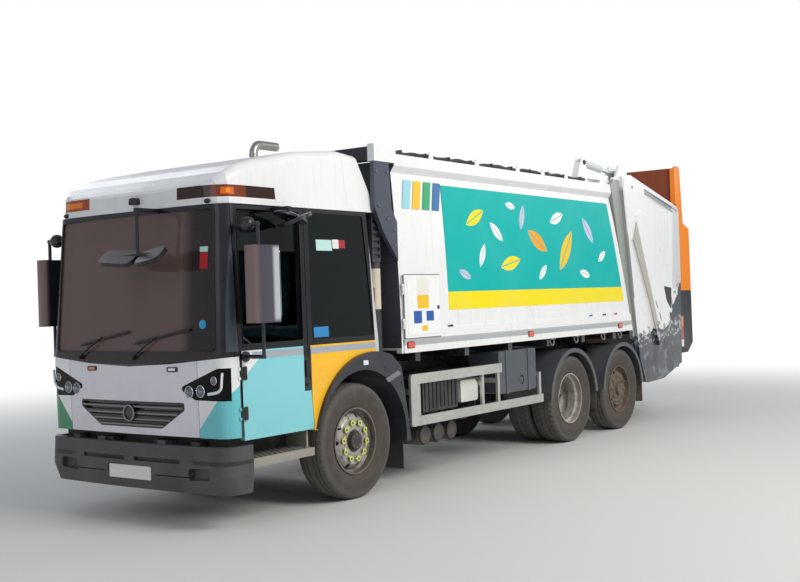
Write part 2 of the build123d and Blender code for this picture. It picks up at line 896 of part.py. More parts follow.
def bumper():
    """The bumper: a bowed beam with cranked ends that reach back to the steps, hollow behind."""
    sections = [
        # height, front, half width, rear
        (bumper_low, bumper_front - 45, bumper_half - 20, bumper_back - 60),
        (bumper_low + 150, bumper_front, bumper_half, bumper_back - 60),
        (bumper_high, bumper_front - 12, bumper_half - 4, bumper_back - 60),
    ]
    inner = [(bumper_low - 1, bumper_front - 45, bumper_half - 20, bumper_back - 400)]
    inner += [(height, front, half, bumper_back - 400) for height, front, half, rear in sections[1:]]
    inner[-1] = (bumper_high + 1, bumper_front - 12, bumper_half - 4, bumper_back - 400)
    beam = lofted(sections, 0) - lofted(inner, bumper_wall)
    beam &= block(bumper_back, 2000, -1300, 1300, 0, 1000)
    beam -= block(
        bumper_front - plate_recess_depth,
        2000,
        -plate_recess_half,
        plate_recess_half,
        plate_recess_low,
        plate_recess_high,
    )
    slots = block(bumper_front - bumper_slot_depth, 2000, 60, 600, bumper_slot_low, bumper_slot_high)
    slots += front_prism(bumper_lamp_outline, 0, bumper_front - 75, 2000)
    slots += block(bumper_front - 60, 2000, plate_recess_half + 40, 800, bumper_seam - 4, bumper_seam + 4)
    beam -= both_sides(slots)
    stays = block(chassis_front - 120, bumper_front - 30, 330, 420, 540, rail_low - seat)
    return beam + both_sides(stays)


def cab_steps():
    """The step below each door: a tread on a box, and the kick plate behind it."""
    tread = block(step_rear, step_front, step_inner, step_outer, step_high - step_thickness, step_high)
    kick = block(
        step_rear,
        step_front,
        step_inner - 20,
        step_inner,
        step_high - step_thickness,
        cab_floor_top - cab_floor_thickness - seat,
    )
    ends = side_plate(
        [
            (step_rear, step_high - 1),
            (step_rear + 20, step_high - 1),
            (step_rear + 20, 735),
            (step_rear, 735),
        ],
        step_inner - 20,
        1040,
    )
    return both_sides(tread + kick + ends)


def front_arches():
    """The front wheel arches: a lip with rounded crown, the liner behind it and the flap behind the wheel."""
    lip = cross_bar(arch_middle, arch_centre, 1106 + seat, 1146, arch_lip)
    lip += cross_bar(arch_middle, arch_centre, 1040, 1110, arch_lip - arch_lap - seat)
    lip -= cross_bar(-20, tyre_radius, 1000, 1300, arch_radius)
    lip &= side_plate(
        [
            (602, 696),
            (900, 1600),
            (-430, 1600),
            (-430, 1300),
            (-610, 1150),
            (-730, 444),
            (-500, 444),
            (0, 500),
        ], 1000, 1300
    )
    liner = cross_bar(
        -20, tyre_radius, 470, 1042, arch_radius + 8
    ) - cross_bar(-20, tyre_radius, 400, 1200, arch_radius)
    liner &= side_plate(
        [(590, 740), (590, 1182), (-300, 1182), (-900, 1182), (-900, 444), (0, 500)], 400, 1200
    )
    rear = block(-662, -652, 780, 1100, 180, 900)
    return both_sides(lip + liner + rear)


def mudguard(x, inner_y):
    """A half-round rear mudguard with a lip down its outer edge and a stay to the chassis."""
    radius = tyre_radius + 66
    band = cross_bar(
        x, tyre_radius, inner_y, 1112, radius + 10
    ) - cross_bar(x, tyre_radius, 400, 1200, radius)
    lip = cross_bar(
        x, tyre_radius, 1104, 1125, radius + 16
    ) - cross_bar(x, tyre_radius, 400, 1200, radius - 34)
    piece = (band + lip) - block(x - 800, x + 800, 0, 1300, -200, 560)
    stay = block(
        x - 30,
        x + 30,
        rail_outer + seat,
        inner_y + 30,
        tyre_radius + radius - 40,
        tyre_radius + radius + 4,
    )
    stay += block(
        x - 30, x + 30, rail_outer + seat, rail_outer + 12, rail_high - 90, tyre_radius + radius
    )
    return piece + stay


def rear_mudguards():
    """Mudguards over the twins and over the third axle's wheels."""
    return both_sides(mudguard(drive_x, twin_middle - tyre_section / 2 + 20) + mudguard(third_x, 760))


def side_boxes():
    """Boxes hung on the rails: the ribbed battery box ahead, a pale box, the strapped tank and brackets."""
    battery = block(
        battery_rear, battery_front, side_box_inner, battery_outer, battery_low, battery_high
    )
    pitch = (battery_front - battery_rear) / (battery_grooves + 0.12)
    for index in range(battery_grooves):
        groove = battery_rear + pitch * (index + 0.56)
        battery -= block(
            groove - 8,
            groove + 8,
            battery_outer - 12,
            battery_outer + 10,
            battery_low + 25,
            battery_high - 25,
        )
    tank = side_plate(
        [
            (tank_rear, tank_low, 30),
            (tank_front, tank_low, 30),
            (tank_front, tank_high, 30),
            (tank_rear, tank_high, 30),
        ],
        tank_inner,
        tank_outer,
    )
    plug_floor = tank_outer - tank_plug_depth
    tank -= cross_bar(tank_plug_x, tank_plug_z, plug_floor, tank_outer + 10, tank_plug_radius)
    tank += cross_bar(tank_plug_x, tank_plug_z, plug_floor - 1, tank_outer - 4, tank_plug_radius - 14)
    for station in (tank_rear + 170, tank_front - 160):
        low, high = station - tank_strap_width / 2, station + tank_strap_width / 2
        strap = block(
            low, high, tank_inner - 10, tank_outer + tank_strap, tank_low - tank_strap, tank_high + tank_strap
        )
        tank += strap - block(low - 1, high + 1, 600, tank_outer - 1, tank_low + 1, tank_high - 1)
    pale_box = side_plate(
        [
            (pale_box_rear, 700, 40),
            (pale_box_front, 700, 20),
            (pale_box_front, pale_box_high, 20),
            (pale_box_rear, pale_box_high, 90),
        ],
        side_box_inner + 2,
        1050,
    )
    brackets = None
    for station, wall, low, high in (
        (-1470, side_box_inner, 740, 800),
        (-1270, side_box_inner, 740, 800),
        (-1965, side_box_inner + 2, 780, 830),
        (-3120, tank_inner, 760, 900),
        (-2670, tank_inner, 760, 900),
    ):
        bracket = block(station - 30, station + 30, rail_outer + seat, wall + 2, low, high)
        brackets = bracket if brackets is None else brackets + bracket
    return both_sides(battery + tank + pale_box + brackets)


def air_tanks():
    """Three air tanks that lie across the truck below the battery box, with domed ends, on two straps."""
    tanks = None
    for station in (-1130, -1365, -1600):
        bottle = cross_bar(station, 440, 560, 1000, 104)
        bottle += cross_bar(station, 440, 999, 1030, 88)
        bottle += block(
            station - 12, station + 12, 620, 650, 440, 665 - seat
        ) + block(station - 12, station + 12, 880, 910, 440, 665 - seat)
        tanks = bottle if tanks is None else tanks + bottle
    return both_sides(tanks)


def side_guards():
    """The side guards: a hoop-ended upper rail, a lower rail, posts and stays to the chassis."""
    low, high = 1096, 1124
    rail = block(-2470, -800, low, high, 963, 1059)
    lower = block(-3370, -800, low, high, 559, 650)
    front = side_plate([(-890, 559, 20), (-780, 559, 40), (-780, 1059, 40), (-890, 1059, 20)], low, high)
    stays = None
    for station in (-950, -2120, -2440, -3350):
        upright = block(
            station - 22, station + 22, low - 26, low + 1, 559, 1040 if station > -2470 else 900
        )
        reach = block(station - 22, station + 22, rail_outer + seat, low - 20, 850, 900)
        stays = upright + reach if stays is None else stays + upright + reach
    return both_sides(rail + lower + front + stays)


def intake_tower():
    """The air intake behind the cab: a louvred head on a tube that comes down to a bracket on the rail."""
    head = block(-476, -352, 915, 1040, 2140, 2590)
    for index in range(6):
        level = 2180 + 64 * index
        head -= block(-466, -362, 1022, 1050, level, level + 34)
    tube = post(-446, 975, 1075, 2141, 62)
    foot = block(-500, -390, rail_outer + seat, 1030, 1070, 1110)
    foot += block(-500, -390, rail_outer + seat, rail_outer + 14, 900, 1110)
    return head + tube + foot


def exhaust_stack():
    """The exhaust: a silencer beside the rail, a riser behind the cab and an outlet bent to the rear."""
    riser = post(-530, -600, 1120, 3330, 46)
    bend = Pos(-630, -600, 3330) * Rot(90, 0, 0) * Torus(100, 46)
    bend &= block(-630, -400, -700, -500, 3330, 3500)
    outlet = long_bar(-600, 3430, -880, -630, 46) - long_bar(-600, 3430, -900, -700, 41)
    silencer = post(-530, -600, 1055, 1500, 110)
    foot = block(-600, -460, -640, -rail_outer - seat, 1010, 1056) + block(
        -600, -460, -rail_outer - 14, -rail_outer - seat, 900, 1056
    )
    return riser + bend + outlet + silencer + foot


# Body
def body_outline(inset):
    """Half of the body's cross-section as (y, z): floor, bowed side, rail and roof."""
    half = body_half - inset
    floor = body_floor_low if inset == 0 else body_floor_high
    roof = body_roof - inset
    side_top = 1040 - inset
    lines = Line((0, floor), (half, floor)) + Line((half, floor), (half, 1500))
    lines += ThreePointArc((half, 1500), (half - 18, 2160), (side_top, body_rail_low))
    lines += Line(
        (side_top, body_rail_low), (side_top - 60, roof)
    ) + Line((side_top - 60, roof), (0, roof))
    lines += Line((0, roof), (0, floor))
    return make_face(lines)


def behind_body(shift):
    """The space behind the body's sloping rear edge, moved ahead by shift."""
    top, low = 3600, 400
    x_top = body_rear_top + shift + (top - 3100) * body_rear_slope
    x_low = body_rear_top + shift + (low - 3100) * body_rear_slope
    return side_plate([(x_top, top), (x_low, low), (x_low - 4000, low), (x_top - 4000, top)], -1400, 1400)


def body_shell():
    """The hollow body: bowed sides, floor on bearers, front wall, top and sill rails, open to the rear."""
    plane = Plane(origin=(body_front - body_length, 0, 0), x_dir=(0, 1, 0), z_dir=(1, 0, 0))
    outer = extrude(plane * body_outline(0), body_length)
    inner = extrude(plane * body_outline(body_wall), body_length - body_wall - 10)
    half = outer - inner
    rail = end_plate(
        [
            (955, body_roof - 20),
            (1030, body_rail_low),
            (1040, body_rail_low),
            (1086, body_rail_low + 62),
            (1086, body_rail_high),
            (990, body_rail_high),
        ],
        body_front - body_length,
        body_front,
    )
    sill = block(
        body_front - body_length,
        body_front - 30,
        body_half - 40,
        sill_rail_half,
        body_floor_low,
        sill_rail_high,
    )
    bearer = block(
        -5900,
        body_front - 60,
        bearer_outer - bearer_width,
        bearer_outer,
        rail_high + seat,
        body_floor_low + 2,
    )
    half += rail + sill + bearer
    half -= inner
    body = both_sides(half)
    for index in range(rib_count):
        station = body_front - 300 - index * 880
        body += block(
            station - 40,
            station + 40,
            -body_half + 30,
            body_half - 30,
            body_floor_low - 90,
            body_floor_low + 2,
        )
    body -= behind_body(0)
    body -= locker_space(0)
    body -= block(
        locker_rear - panel_gap,
        locker_front + panel_gap,
        locker_face - locker_leaf,
        1300,
        locker_low - panel_gap,
        locker_high + panel_gap,
    )
    body += locker_box() + hinge_beams()
    return body


def locker_space(inset):
    """The locker's box, drawn in all round by inset."""
    return block(
        locker_rear + inset,
        locker_front - inset,
        locker_face - locker_depth + inset,
        locker_face - locker_leaf + (200 if inset else 0),
        locker_low + inset,
        locker_high - inset,
    )


def locker_box():
    """The locker at the body's lower front corner: an open-faced box let into the side, and its hinges."""
    box = locker_space(0) - locker_space(locker_wall)
    for level in locker_hinge_levels:
        box += hinge_fixed(locker_hinge_x, locker_hinge_y, level)
        for low in (level, level + hinge_height - knuckle_end):
            box += block(
                locker_hinge_x, locker_hinge_x + 16, 1085, locker_hinge_y + 4, low, low + knuckle_end
            )
    return box


def locker_door():
    """The locker's door, hinged at its front edge."""
    low, high = locker_face - locker_leaf + seat, locker_face
    leaf = side_plate(
        [
            (locker_rear, locker_low, 12),
            (locker_front, locker_low, 12),
            (locker_front, locker_high, 12),
            (locker_rear, locker_high, 12),
        ],
        low,
        high,
    )
    for level in locker_hinge_levels:
        leaf -= post(
            locker_hinge_x, locker_hinge_y, level - 3, level + hinge_height + 3, hinge_knuckle + 3
        )
        bottom, top = level + knuckle_end + seat, level + hinge_height - knuckle_end - seat
        strap = block(
            locker_hinge_x - 40, locker_hinge_x, locker_face - 20, locker_hinge_y + 4, bottom, top
        )
        strap -= post(locker_hinge_x, locker_hinge_y, bottom - 1, top + 1, hinge_pin + pin_gap)
        leaf += strap + hinge_barrel(locker_hinge_x, locker_hinge_y, level)
    return leaf


def hinge_beams():
    """Beams along the roof's edges that carry the rams' front brackets and the tailgate's hinge eyes."""
    low, high = beam_middle - beam_width / 2, beam_middle + beam_width / 2
    beam = side_plate(
        [
            (hinge_x + 80, beam_low),
            (hinge_x + 110, beam_high),
            (bracket_x, beam_high),
            (bracket_x, beam_low),
        ], low, high
    )
    eye = side_plate(
        [
            (hinge_x + 190, body_roof - 13),
            (hinge_x + 80, beam_high - 4),
            (hinge_x + 110, beam_high),
            (hinge_x + 300, beam_high),
            (hinge_x + 370, body_roof - 13),
        ],
        low,
        high,
    )
    lug = cross_bar(hinge_x, hinge_z, low, high, hinge_lug) + side_plate(
        [
            (hinge_x - 5, hinge_z - hinge_lug),
            (hinge_x + 200, hinge_z - hinge_lug + 2),
            (hinge_x + 200, beam_high - 6),
            (hinge_x - 5, hinge_z + hinge_lug),
        ],
        low,
        high,
    )
    bracket = side_plate(
        [
            (bracket_x + 240, body_roof + 2),
            (bracket_x - 90, body_roof + 2),
            (bracket_x - 70, beam_high),
            (bracket_x - 60, ram_pin_z + 60, 40),
            (bracket_x + 60, ram_pin_z + 60, 40),
        ],
        low,
        high,
    )
    slot_half = ram_eye_width / 2 + 4
    slot = block(
        bracket_x - 90,
        bracket_x + 90,
        beam_middle - slot_half,
        beam_middle + slot_half,
        ram_pin_z - ram_eye_radius - 42,
        ram_pin_z + 180,
    )
    pin = cross_bar(bracket_x, ram_pin_z, low, high, bracket_pin_radius)
    piece = beam + eye + lug + (bracket - slot) + pin
    piece -= cross_bar(hinge_x, hinge_z, low - 10, high + 10, hinge_pin_radius + pin_gap)
    return both_sides(piece)


def header_frame():
    """The posts and cross beam ahead of the body, tied back to its front wall."""
    side = side_plate(
        [
            (-330, 3080),
            (-330, 2640),
            (-450, 2420),
            (body_front + seat, 2150),
            (body_front + seat, 2520),
            (-590, 2640),
            (-560, 3080),
        ],
        1058,
        1104,
    )
    cap = block(body_front + seat, -330, 1034, 1110, 3079, 3240)
    beam = block(-450, -340, -1035, 1035, 3090, 3220)
    return both_sides(side + cap) + beam


# Tailgate
def tail_front(z, back):
    """The station of the tailgate's front edge at height z, moved back by an amount."""
    return body_rear_top + (z - 3100) * body_rear_slope - tail_gap - back


def tailgate_shell():
    """The tailgate: two side walls, roof, sloping front sill, hopper pan, ram covers, ears and hinge pins."""
    outline = [
        (tail_front(3160, 0), 3160),
        (-5520, 3280),
        (-5924, 3331),
        (-7480, 2985, 30),
        (-7550, 2900, 20),
        (-7546, 1850),
        (-7494, 737, 30),
        (-6826, 558, 60),
        (-6300, 540, 40),
        (tail_front(850, 80), 850),
        (tail_front(1666, 0), 1666),
    ]
    wall_inner = tailgate_half - tailgate_wall
    walls = side_plate(outline, wall_inner, tailgate_half - skin_depth)
    skin = [(-5670, 3298), (-5760, 2530), (-5890, 1680), (-6065, 850), (-6150, 690), (-6215, 570)]
    walls += side_plate(
        skin
        + [
            (-6300, 540, 40),
            (-6826, 558, 60),
            (-7494, 737, 30),
            (-7546, 1850),
            (-7550, 2900, 20),
            (-7480, 2985, 30),
            (-5924, 3331),
        ],
        tailgate_half - skin_depth - 1,
        tailgate_half,
    )
    roof = side_plate(
        [
            (-5460, 3235),
            (-5640, 3290),
            (-5924, 3312),
            (-7470, 2972),
            (-7540, 2880),
            (-7500, 2850),
            (-7440, 2925),
            (-5924, 3262),
            (-5640, 3240),
            (-5460, 3195),
        ],
        -1,
        wall_inner + 1,
    )
    low_x = blade_pivot_x - carriage_travel * sin(radians(carriage_angle))
    low_z = blade_pivot_z - carriage_travel * cos(radians(carriage_angle))
    sweep = blade_length + 34
    pan_outer = side_plate(
        [
            (tail_front(1330, 0), 1330),
            (tail_front(850, 80), 850),
            (-6300, 540, 40),
            (-6826, 558, 60),
            (-7494, 1180),
            (-7494, 1262),
            (-7420, 1262),
            (-6900, 1700),
            (-6300, 1600),
        ],
        -1,
        wall_inner + 1,
    )
    pan = pan_outer - cross_bar(low_x, low_z, -10, wall_inner + 10, sweep)
    above = side_plate(
        [
            (tail_front(1335, 70), 1335),
            (tail_front(850, 130), 850),
            (-6700, 800),
            (-6900, 850),
            (-7440, 1240),
            (-7520, 1263),
            (-7520, 2000),
            (-5800, 2000),
        ],
        -10,
        wall_inner + 10,
    )
    pan -= above
    cover = side_plate(
        [(-6036, 2799), (-6302, 2878), (-7034, 1360), (-6620, 1030), (-6334, 1656), (-5881, 2461)],
        tailgate_half - 2,
        tailgate_half + 45,
    )
    walls -= side_plate(
        [(-6360, 3178), (-6455, 3108), (-7430, 2890), (-7500, 2925)],
        tailgate_half - roof_strip_depth,
        tailgate_half + 1,
    )
    walls -= side_plate(
        [(-6430, 3068), (-7150, 2906), (-7100, 2250), (-6975, 1890), (-6860, 1890), (-6372, 2900)],
        tailgate_half - rear_panel_depth,
        tailgate_half + 1,
    )
    ear_low = beam_middle - ear_gap / 2 - ear_thickness
    ear_outline = [
        (-5560, 3230),
        (-5700, 3440, 40),
        (-5870, 3470, 50),
        (-5960, 3300),
        (-5900, 3200),
        (hinge_x - 60, hinge_z - 70, 30),
        (hinge_x + 60, hinge_z - 60, 30),
    ]
    ears = side_plate(ear_outline, ear_low, ear_low + ear_thickness)
    ears += side_plate(ear_outline, beam_middle + ear_gap / 2, beam_middle + ear_gap / 2 + ear_thickness)
    pin = cross_bar(
        hinge_x, hinge_z, ear_low, beam_middle + ear_gap / 2 + ear_thickness, hinge_pin_radius
    )
    inner_ear = beam_middle - ear_gap / 2
    outer_ear = beam_middle + ear_gap / 2
    stubs = cross_bar(ear_x, ear_z, ear_low, inner_ear + ear_stub, ear_stub_radius)
    stubs += cross_bar(ear_x, ear_z, outer_ear - ear_stub, outer_ear + ear_thickness, ear_stub_radius)
    edge_fold = side_plate(
        [(-5700, 3258), (-5790, 2500), (-5900, 1700), (-5960, 1700), (-5850, 2500), (-5760, 3278)],
        tailgate_half - 1,
        tailgate_half + fold_height,
    )
    half = walls + roof + pan + cover + edge_fold + ears
    # Between the ears the roof is open for the hinge beam's end, and for the ram's eye.
    half -= side_plate(
        [
            (hinge_x + 200, 3000),
            (hinge_x + 200, 3430),
            (ear_x - 125, 3430),
            (ear_x - 107, ear_z - 25),
            (ear_x - 50, ear_z - 65),
            (ear_x + 10, ear_z - 100),
            (hinge_x - 70, 3020),
        ],
        inner_ear,
        outer_ear,
    )
    return both_sides(half + pin + stubs)


def packer_carriage():
    """The carriage: a plate across the hopper that slides down along the tailgate's slope."""
    half = tailgate_half - tailgate_wall - packer_side_gap
    plate = block(
        -carriage_thickness / 2,
        carriage_thickness / 2,
        -half,
        half,
        blade_pin_radius + 50,
        carriage_length,
    )
    guide = tailgate_half - tailgate_wall - seat
    for level in (blade_pin_radius + 90, carriage_length - 130):
        plate += block(-30, 30, -guide, guide, level, level + 90)
    lugs = None
    for y in (-620, 0, 620):
        lug = block(-34, 34, y - 40, y + 40, -40, blade_pin_radius + 52)
        lugs = lug if lugs is None else lugs + lug
    shape = plate + lugs + Rot(90, 0, 0) * Cylinder(blade_pin_radius, 1400)
    return Pos(blade_pivot_x, 0, blade_pivot_z) * Rot(0, carriage_angle, 0) * shape


def packer_blade():
    """The blade hinged below the carriage, slightly hollow towards the load."""
    half = tailgate_half - tailgate_wall - packer_side_gap
    profile = [
        (-45, 62, 20),
        (45, 62, 20),
        (30, -200),
        (20, -blade_length),
        (-20, -blade_length),
        (-75, -300),
        (-62, -60),
    ]
    shape = side_plate(profile, -half, half)
    shape -= Rot(90, 0, 0) * Cylinder(blade_pin_radius + pin_gap, 3000)
    for y in (-620, 0, 620):
        shape -= block(-200, 200, y - 48, y + 48, -70, 200)
    return Pos(blade_pivot_x, 0, blade_pivot_z) * Rot(0, 5, 0) * shape


def rear_edge(z):
    """The station of the tailgate's rear edge at height z."""
    if z < 1850:
        return -7494 - (z - 737) / (1850 - 737) * 52
    return -7546 - (z - 1850) / (2900 - 1850) * 4


def lift_frame():
    """The bin lift's fixed frame: posts behind the hopper, a shield above the roof and the pivots."""
    posts = side_plate(
        [
            (rear_edge(860) - seat, 860),
            (rear_edge(1850) - seat, 1850),
            (rear_edge(2700) - seat, 2700),
            (-7640, 3030),
            (-7640, 3560),
            (-7720, 3590),
            (-7790, 3560),
            (-7860, 2760),
            (-8080, 2680),
            (-8100, 1000),
            (-7900, 860),
        ],
        lift_post_inner + 20,
        lift_post_outer,
    )
    shield = side_plate(
        [(-7640, 2990), (-7640, 3560), (-7780, 3560), (-7780, 3530), (-7662, 3530), (-7662, 2990)],
        -1,
        lift_post_inner + 21,
    )
    pivot = cross_bar(lift_pivot_x, lift_pivot_z, lift_post_inner - 60, lift_post_inner + 22, 34)
    return both_sides(posts + shield + pivot)


def tail_lamps():
    """The rear lamp clusters, upright beside the lift's posts on the tailgate's rear edge."""
    cluster = side_plate(
        [
            (rear_edge(960) - seat, 960),
            (rear_edge(1400) - seat, 1400),
            (-7600, 1400, 12),
            (-7600, 960, 12),
        ],
        lift_post_outer + seat + 2,
        tailgate_half,
    )
    return both_sides(cluster)


def bin_lift():
    """The swinging lift: arms on the pivots, a back plate, and a comb of teeth that takes the bins' rims."""
    half = lift_post_inner - 8
    arm = side_plate(
        [
            (lift_pivot_x + 60, lift_pivot_z + 40, 30),
            (lift_pivot_x + 60, lift_pivot_z - 60, 30),
            (lift_pivot_x - 20, 700, 20),
            (lift_pivot_x - 100, 640, 20),
            (lift_pivot_x - 330, 960, 20),
            (lift_pivot_x - 330, 1060, 20),
            (lift_pivot_x - 60, lift_pivot_z + 60, 30),
        ],
        half - 56,
        half - 8,
    )
    arm -= cross_bar(lift_pivot_x, lift_pivot_z, half - 100, half + 20, 34 + pin_gap)
    plate = side_plate([(-7700, 660), (-7676, 660), (-7676, 1300), (-7700, 1300)], -1, half - 55)
    comb = block(lift_pivot_x - 330, lift_pivot_x - 240, -1, half - 55, 960, 1010)
    braces = block(lift_pivot_x - 250, -7690, 300, 340, 940, 1000)
    lift = arm + plate + comb + braces
    pitch = 2 * (half - 90) / lift_tooth_count
    lift = both_sides(lift)
    for index in range(lift_tooth_count):
        y = -(half - 90) + pitch * (index + 0.5)
        lift += block(lift_pivot_x - 322, lift_pivot_x - 292, y - 22, y + 22, 1008, 1068)
    return lift


def tube(near, far, radius):
    """A round bar along the ram, between two distances behind its foot's pin."""
    return Pos(-(near + far) / 2, 0, 0) * Rot(0, 90, 0) * Cylinder(radius, far - near)


def ram():
    """The left ram: its barrel with the foot eye, and its rod with the far eye, in that order."""
    run_x, run_z = ear_x - bracket_x, ear_z - ram_pin_z
    length = hypot(run_x, run_z)
    tilt = degrees(atan2(-run_z, -run_x))
    ear_radius = hypot(ear_x - hinge_x, ear_z - hinge_z)
    ear_angle = atan2(ear_z - hinge_z, ear_x - hinge_x) - radians(tailgate_range)
    raised_x = hinge_x + ear_radius * cos(ear_angle)
    raised_z = hinge_z + ear_radius * sin(ear_angle)
    closed = hypot(raised_x - bracket_x, raised_z - ram_pin_z)
    place = Pos(bracket_x, beam_middle, ram_pin_z) * Rot(0, -tilt, 0)
    eye_width = ram_eye_width
    foot = Rot(90, 0, 0) * Cylinder(ram_eye_radius, eye_width)
    tube_end = closed - ram_eye_radius - ram_end_play
    bore_start = ram_foot_reach + ram_gland
    barrel = foot + Pos(-ram_foot_reach / 2, 0, 0) * Box(ram_foot_reach + 8, eye_width, 60)
    barrel += tube(ram_foot_reach, tube_end, ram_barrel_radius)
    barrel -= Rot(90, 0, 0) * Cylinder(bracket_pin_radius + pin_gap, 200)
    barrel -= tube(bore_start, tube_end - ram_gland, ram_bore)
    barrel -= tube(bore_start, tube_end + 1, ram_rod_radius + pin_gap)
    piston_start = bore_start + ram_end_play + length - closed
    rod = tube(piston_start + 1, length, ram_rod_radius)
    piston = tube(piston_start, piston_start + ram_piston, ram_bore - pin_gap)
    eye = Pos(-length, 0, 0) * Rot(90, 0, 0) * Cylinder(ram_eye_radius, eye_width)
    return place * barrel, place * (rod + piston + eye)


def seats():
    """The driver's seat and the crew's bench: cushions, backs and bases."""
    pieces = None
    for y in (620, -30, -560):
        base = block(-60, 330, y - 190, y + 190, cab_deck_top + seat, cab_deck_top + 230)
        cushion = block(-110, 400, y - 240, y + 240, cab_deck_top + 230 - 1, cab_deck_top + 350)
        back = side_plate([(-120, 1560), (0, 1560), (-90, 2270, 40), (-190, 2270, 40)], y - 235, y + 235)
        seat_one = base + cushion + back
        pieces = seat_one if pieces is None else pieces + seat_one
    return pieces


def dashboard():
    """The fascia below the windscreen, the column and the steering wheel."""
    fascia = side_plate(
        [(1250, 1180), (1560, 1180), (1560, 1395, 20), (1330, 1420, 40), (1240, 1330, 40)], -960, 960
    )
    leg = block(1480, 1560, -960, 960, cab_floor_top + seat, 1181)
    ring = Pos(1120, 600, 1480) * Rot(0, -32, 0) * Torus(215, 16)
    spokes = Pos(1120, 600, 1480) * Rot(0, -32, 0) * (Box(425, 34, 14) + Cylinder(50, 30))
    column = Pos(1120, 600, 1480) * Rot(0, -32, 0) * Pos(0, 0, -130) * Cylinder(36, 250)
    return fascia + leg + ring + spokes + column


def leaf_mirror(x, y, z, width, turn):
    """A mirror head: a rounded plate that looks down and back."""
    face = RectangleRounded(mirror_leaf_depth, width, 60)
    return Pos(x, y, z) * Rot(turn, mirror_leaf_tilt, 0) * extrude(face, mirror_leaf_thickness)


def front_mirrors():
    """Mirrors ahead of the windscreen: a bracket from the header, two leaf mirrors and a camera pod."""
    arm = block(1590, 1866, 325, 355, 2562, 2596) - lofted(cab_sections, -seat)
    drop = post(1850, 340, 2215, 2590, 14)
    bar = cross_bar(1850, 2215, 120, 520, 13)
    near = leaf_mirror(1850, 515, 2180, 290, 8)
    far = leaf_mirror(1850, 130, 2180, 400, -4)
    camera_pod = end_plate(
        [(28, 2648, 12), (116, 2648, 12), (108, 2706, 18), (36, 2706, 18)],
        roof_sections[0][0] + seat,
        roof_sections[0][0] + camera_pod_reach,
    )
    return arm + drop + bar + near + far + camera_pod


os.makedirs("parts", exist_ok=True)

front_tyre, front_rim = steered_wheel(0)
third_tyre, third_rim = steered_wheel(third_x)
drive_tyres, drive_rims = twin_wheels(drive_x)
front_knuckle = knuckle(0)
third_knuckle = knuckle(third_x)
left_door = door()
left_mirrors = door_mirrors()
barrel, rod = ram()

nodes = {
    "chassis_frame": chassis_frame(),
    "engine_block": engine_block(),
    "axles": beam_axle(0) + drive_axle() + beam_axle(third_x),
    "cab_floor": cab_floor(),
    "cab_shell": cab_shell(),
    "cab_roof": cab_roof(),
    "cab_glass": cab_glass(),
    "front_panel": front_panel(),
    "corner_panels": corner_panels(),
    "grille": grille(),
    "headlamps": headlamps(),
    "bumper": bumper(),
    "roof_lamps": roof_lamps(),
    "front_mirrors": front_mirrors(),
    "seats": seats(),
    "dashboard": dashboard(),
    "front_arches": front_arches(),
    "cab_steps": cab_steps(),
    "side_boxes": side_boxes(),
    "air_tanks": air_tanks(),
    "side_guards": side_guards(),
    "rear_mudguards": rear_mudguards(),
    "intake_tower": intake_tower(),
    "exhaust_stack": exhaust_stack(),
    "body_shell": body_shell(),
    "header_frame": header_frame(),
    "door_left": left_door,
    "door_right": other_side(left_door),
    "door_glass_left": door_glass(False),
    "door_glass_right": other_side(door_glass(True)),
    "mirrors_left": left_mirrors,
    "mirrors_right": other_side(left_mirrors),
    "locker_door": locker_door(),
    "tailgate_shell": tailgate_shell(),
    "tail_lamps": tail_lamps(),
    "lift_frame": lift_frame(),
    "packer_carriage": packer_carriage(),
    "packer_blade": packer_blade(),
    "bin_lift": bin_lift(),
    "ram_barrels": both_sides(barrel),
    "ram_rods": both_sides(rod),
    "knuckle_front_left": front_knuckle,
    "knuckle_front_right": other_side(front_knuckle),
    "knuckle_third_left": third_knuckle,
    "knuckle_third_right": other_side(third_knuckle),
    "tyre_front_left": front_tyre,
    "tyre_front_right": other_side(front_tyre),
    "rim_front_left": front_rim,
    "rim_front_right": other_side(front_rim),
    "tyres_drive_left": drive_tyres,
    "tyres_drive_right": other_side(drive_tyres),
    "rims_drive_left": drive_rims,
    "rims_drive_right": other_side(drive_rims),
    "tyre_third_left": third_tyre,
    "tyre_third_right": other_side(third_tyre),
    "rim_third_left": third_rim,
    "rim_third_right": other_side(third_rim),
}

to_middle = Location((front_axle_to_middle, 0, 0))
for name, shape in nodes.items():
    export_step(shape.moved(to_middle), f"parts/{name}.step")
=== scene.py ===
"""Looks of a three-axle garbage truck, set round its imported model."""

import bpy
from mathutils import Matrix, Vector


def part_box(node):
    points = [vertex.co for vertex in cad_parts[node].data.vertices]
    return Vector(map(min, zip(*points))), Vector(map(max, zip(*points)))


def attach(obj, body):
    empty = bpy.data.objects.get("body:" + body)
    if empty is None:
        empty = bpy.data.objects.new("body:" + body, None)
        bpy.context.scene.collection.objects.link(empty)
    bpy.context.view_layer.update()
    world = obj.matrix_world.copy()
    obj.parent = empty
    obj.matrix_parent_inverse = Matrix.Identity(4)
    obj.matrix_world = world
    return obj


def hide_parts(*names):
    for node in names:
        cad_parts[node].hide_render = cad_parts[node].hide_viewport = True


bl_info = {
    "name": "Garbage truck looks",
    "version": (1, 0, 0),
    "blender": (4, 5, 0),
    "location": "3D View > Sidebar > Garbage truck",
    "description": "Paint, tyres, trim and lighting for a three-axle garbage truck",
    "category": "Object",
}

from math import cos, pi, radians, sin

import bmesh
import bpy
import numpy as np
from mathutils import Matrix, Vector

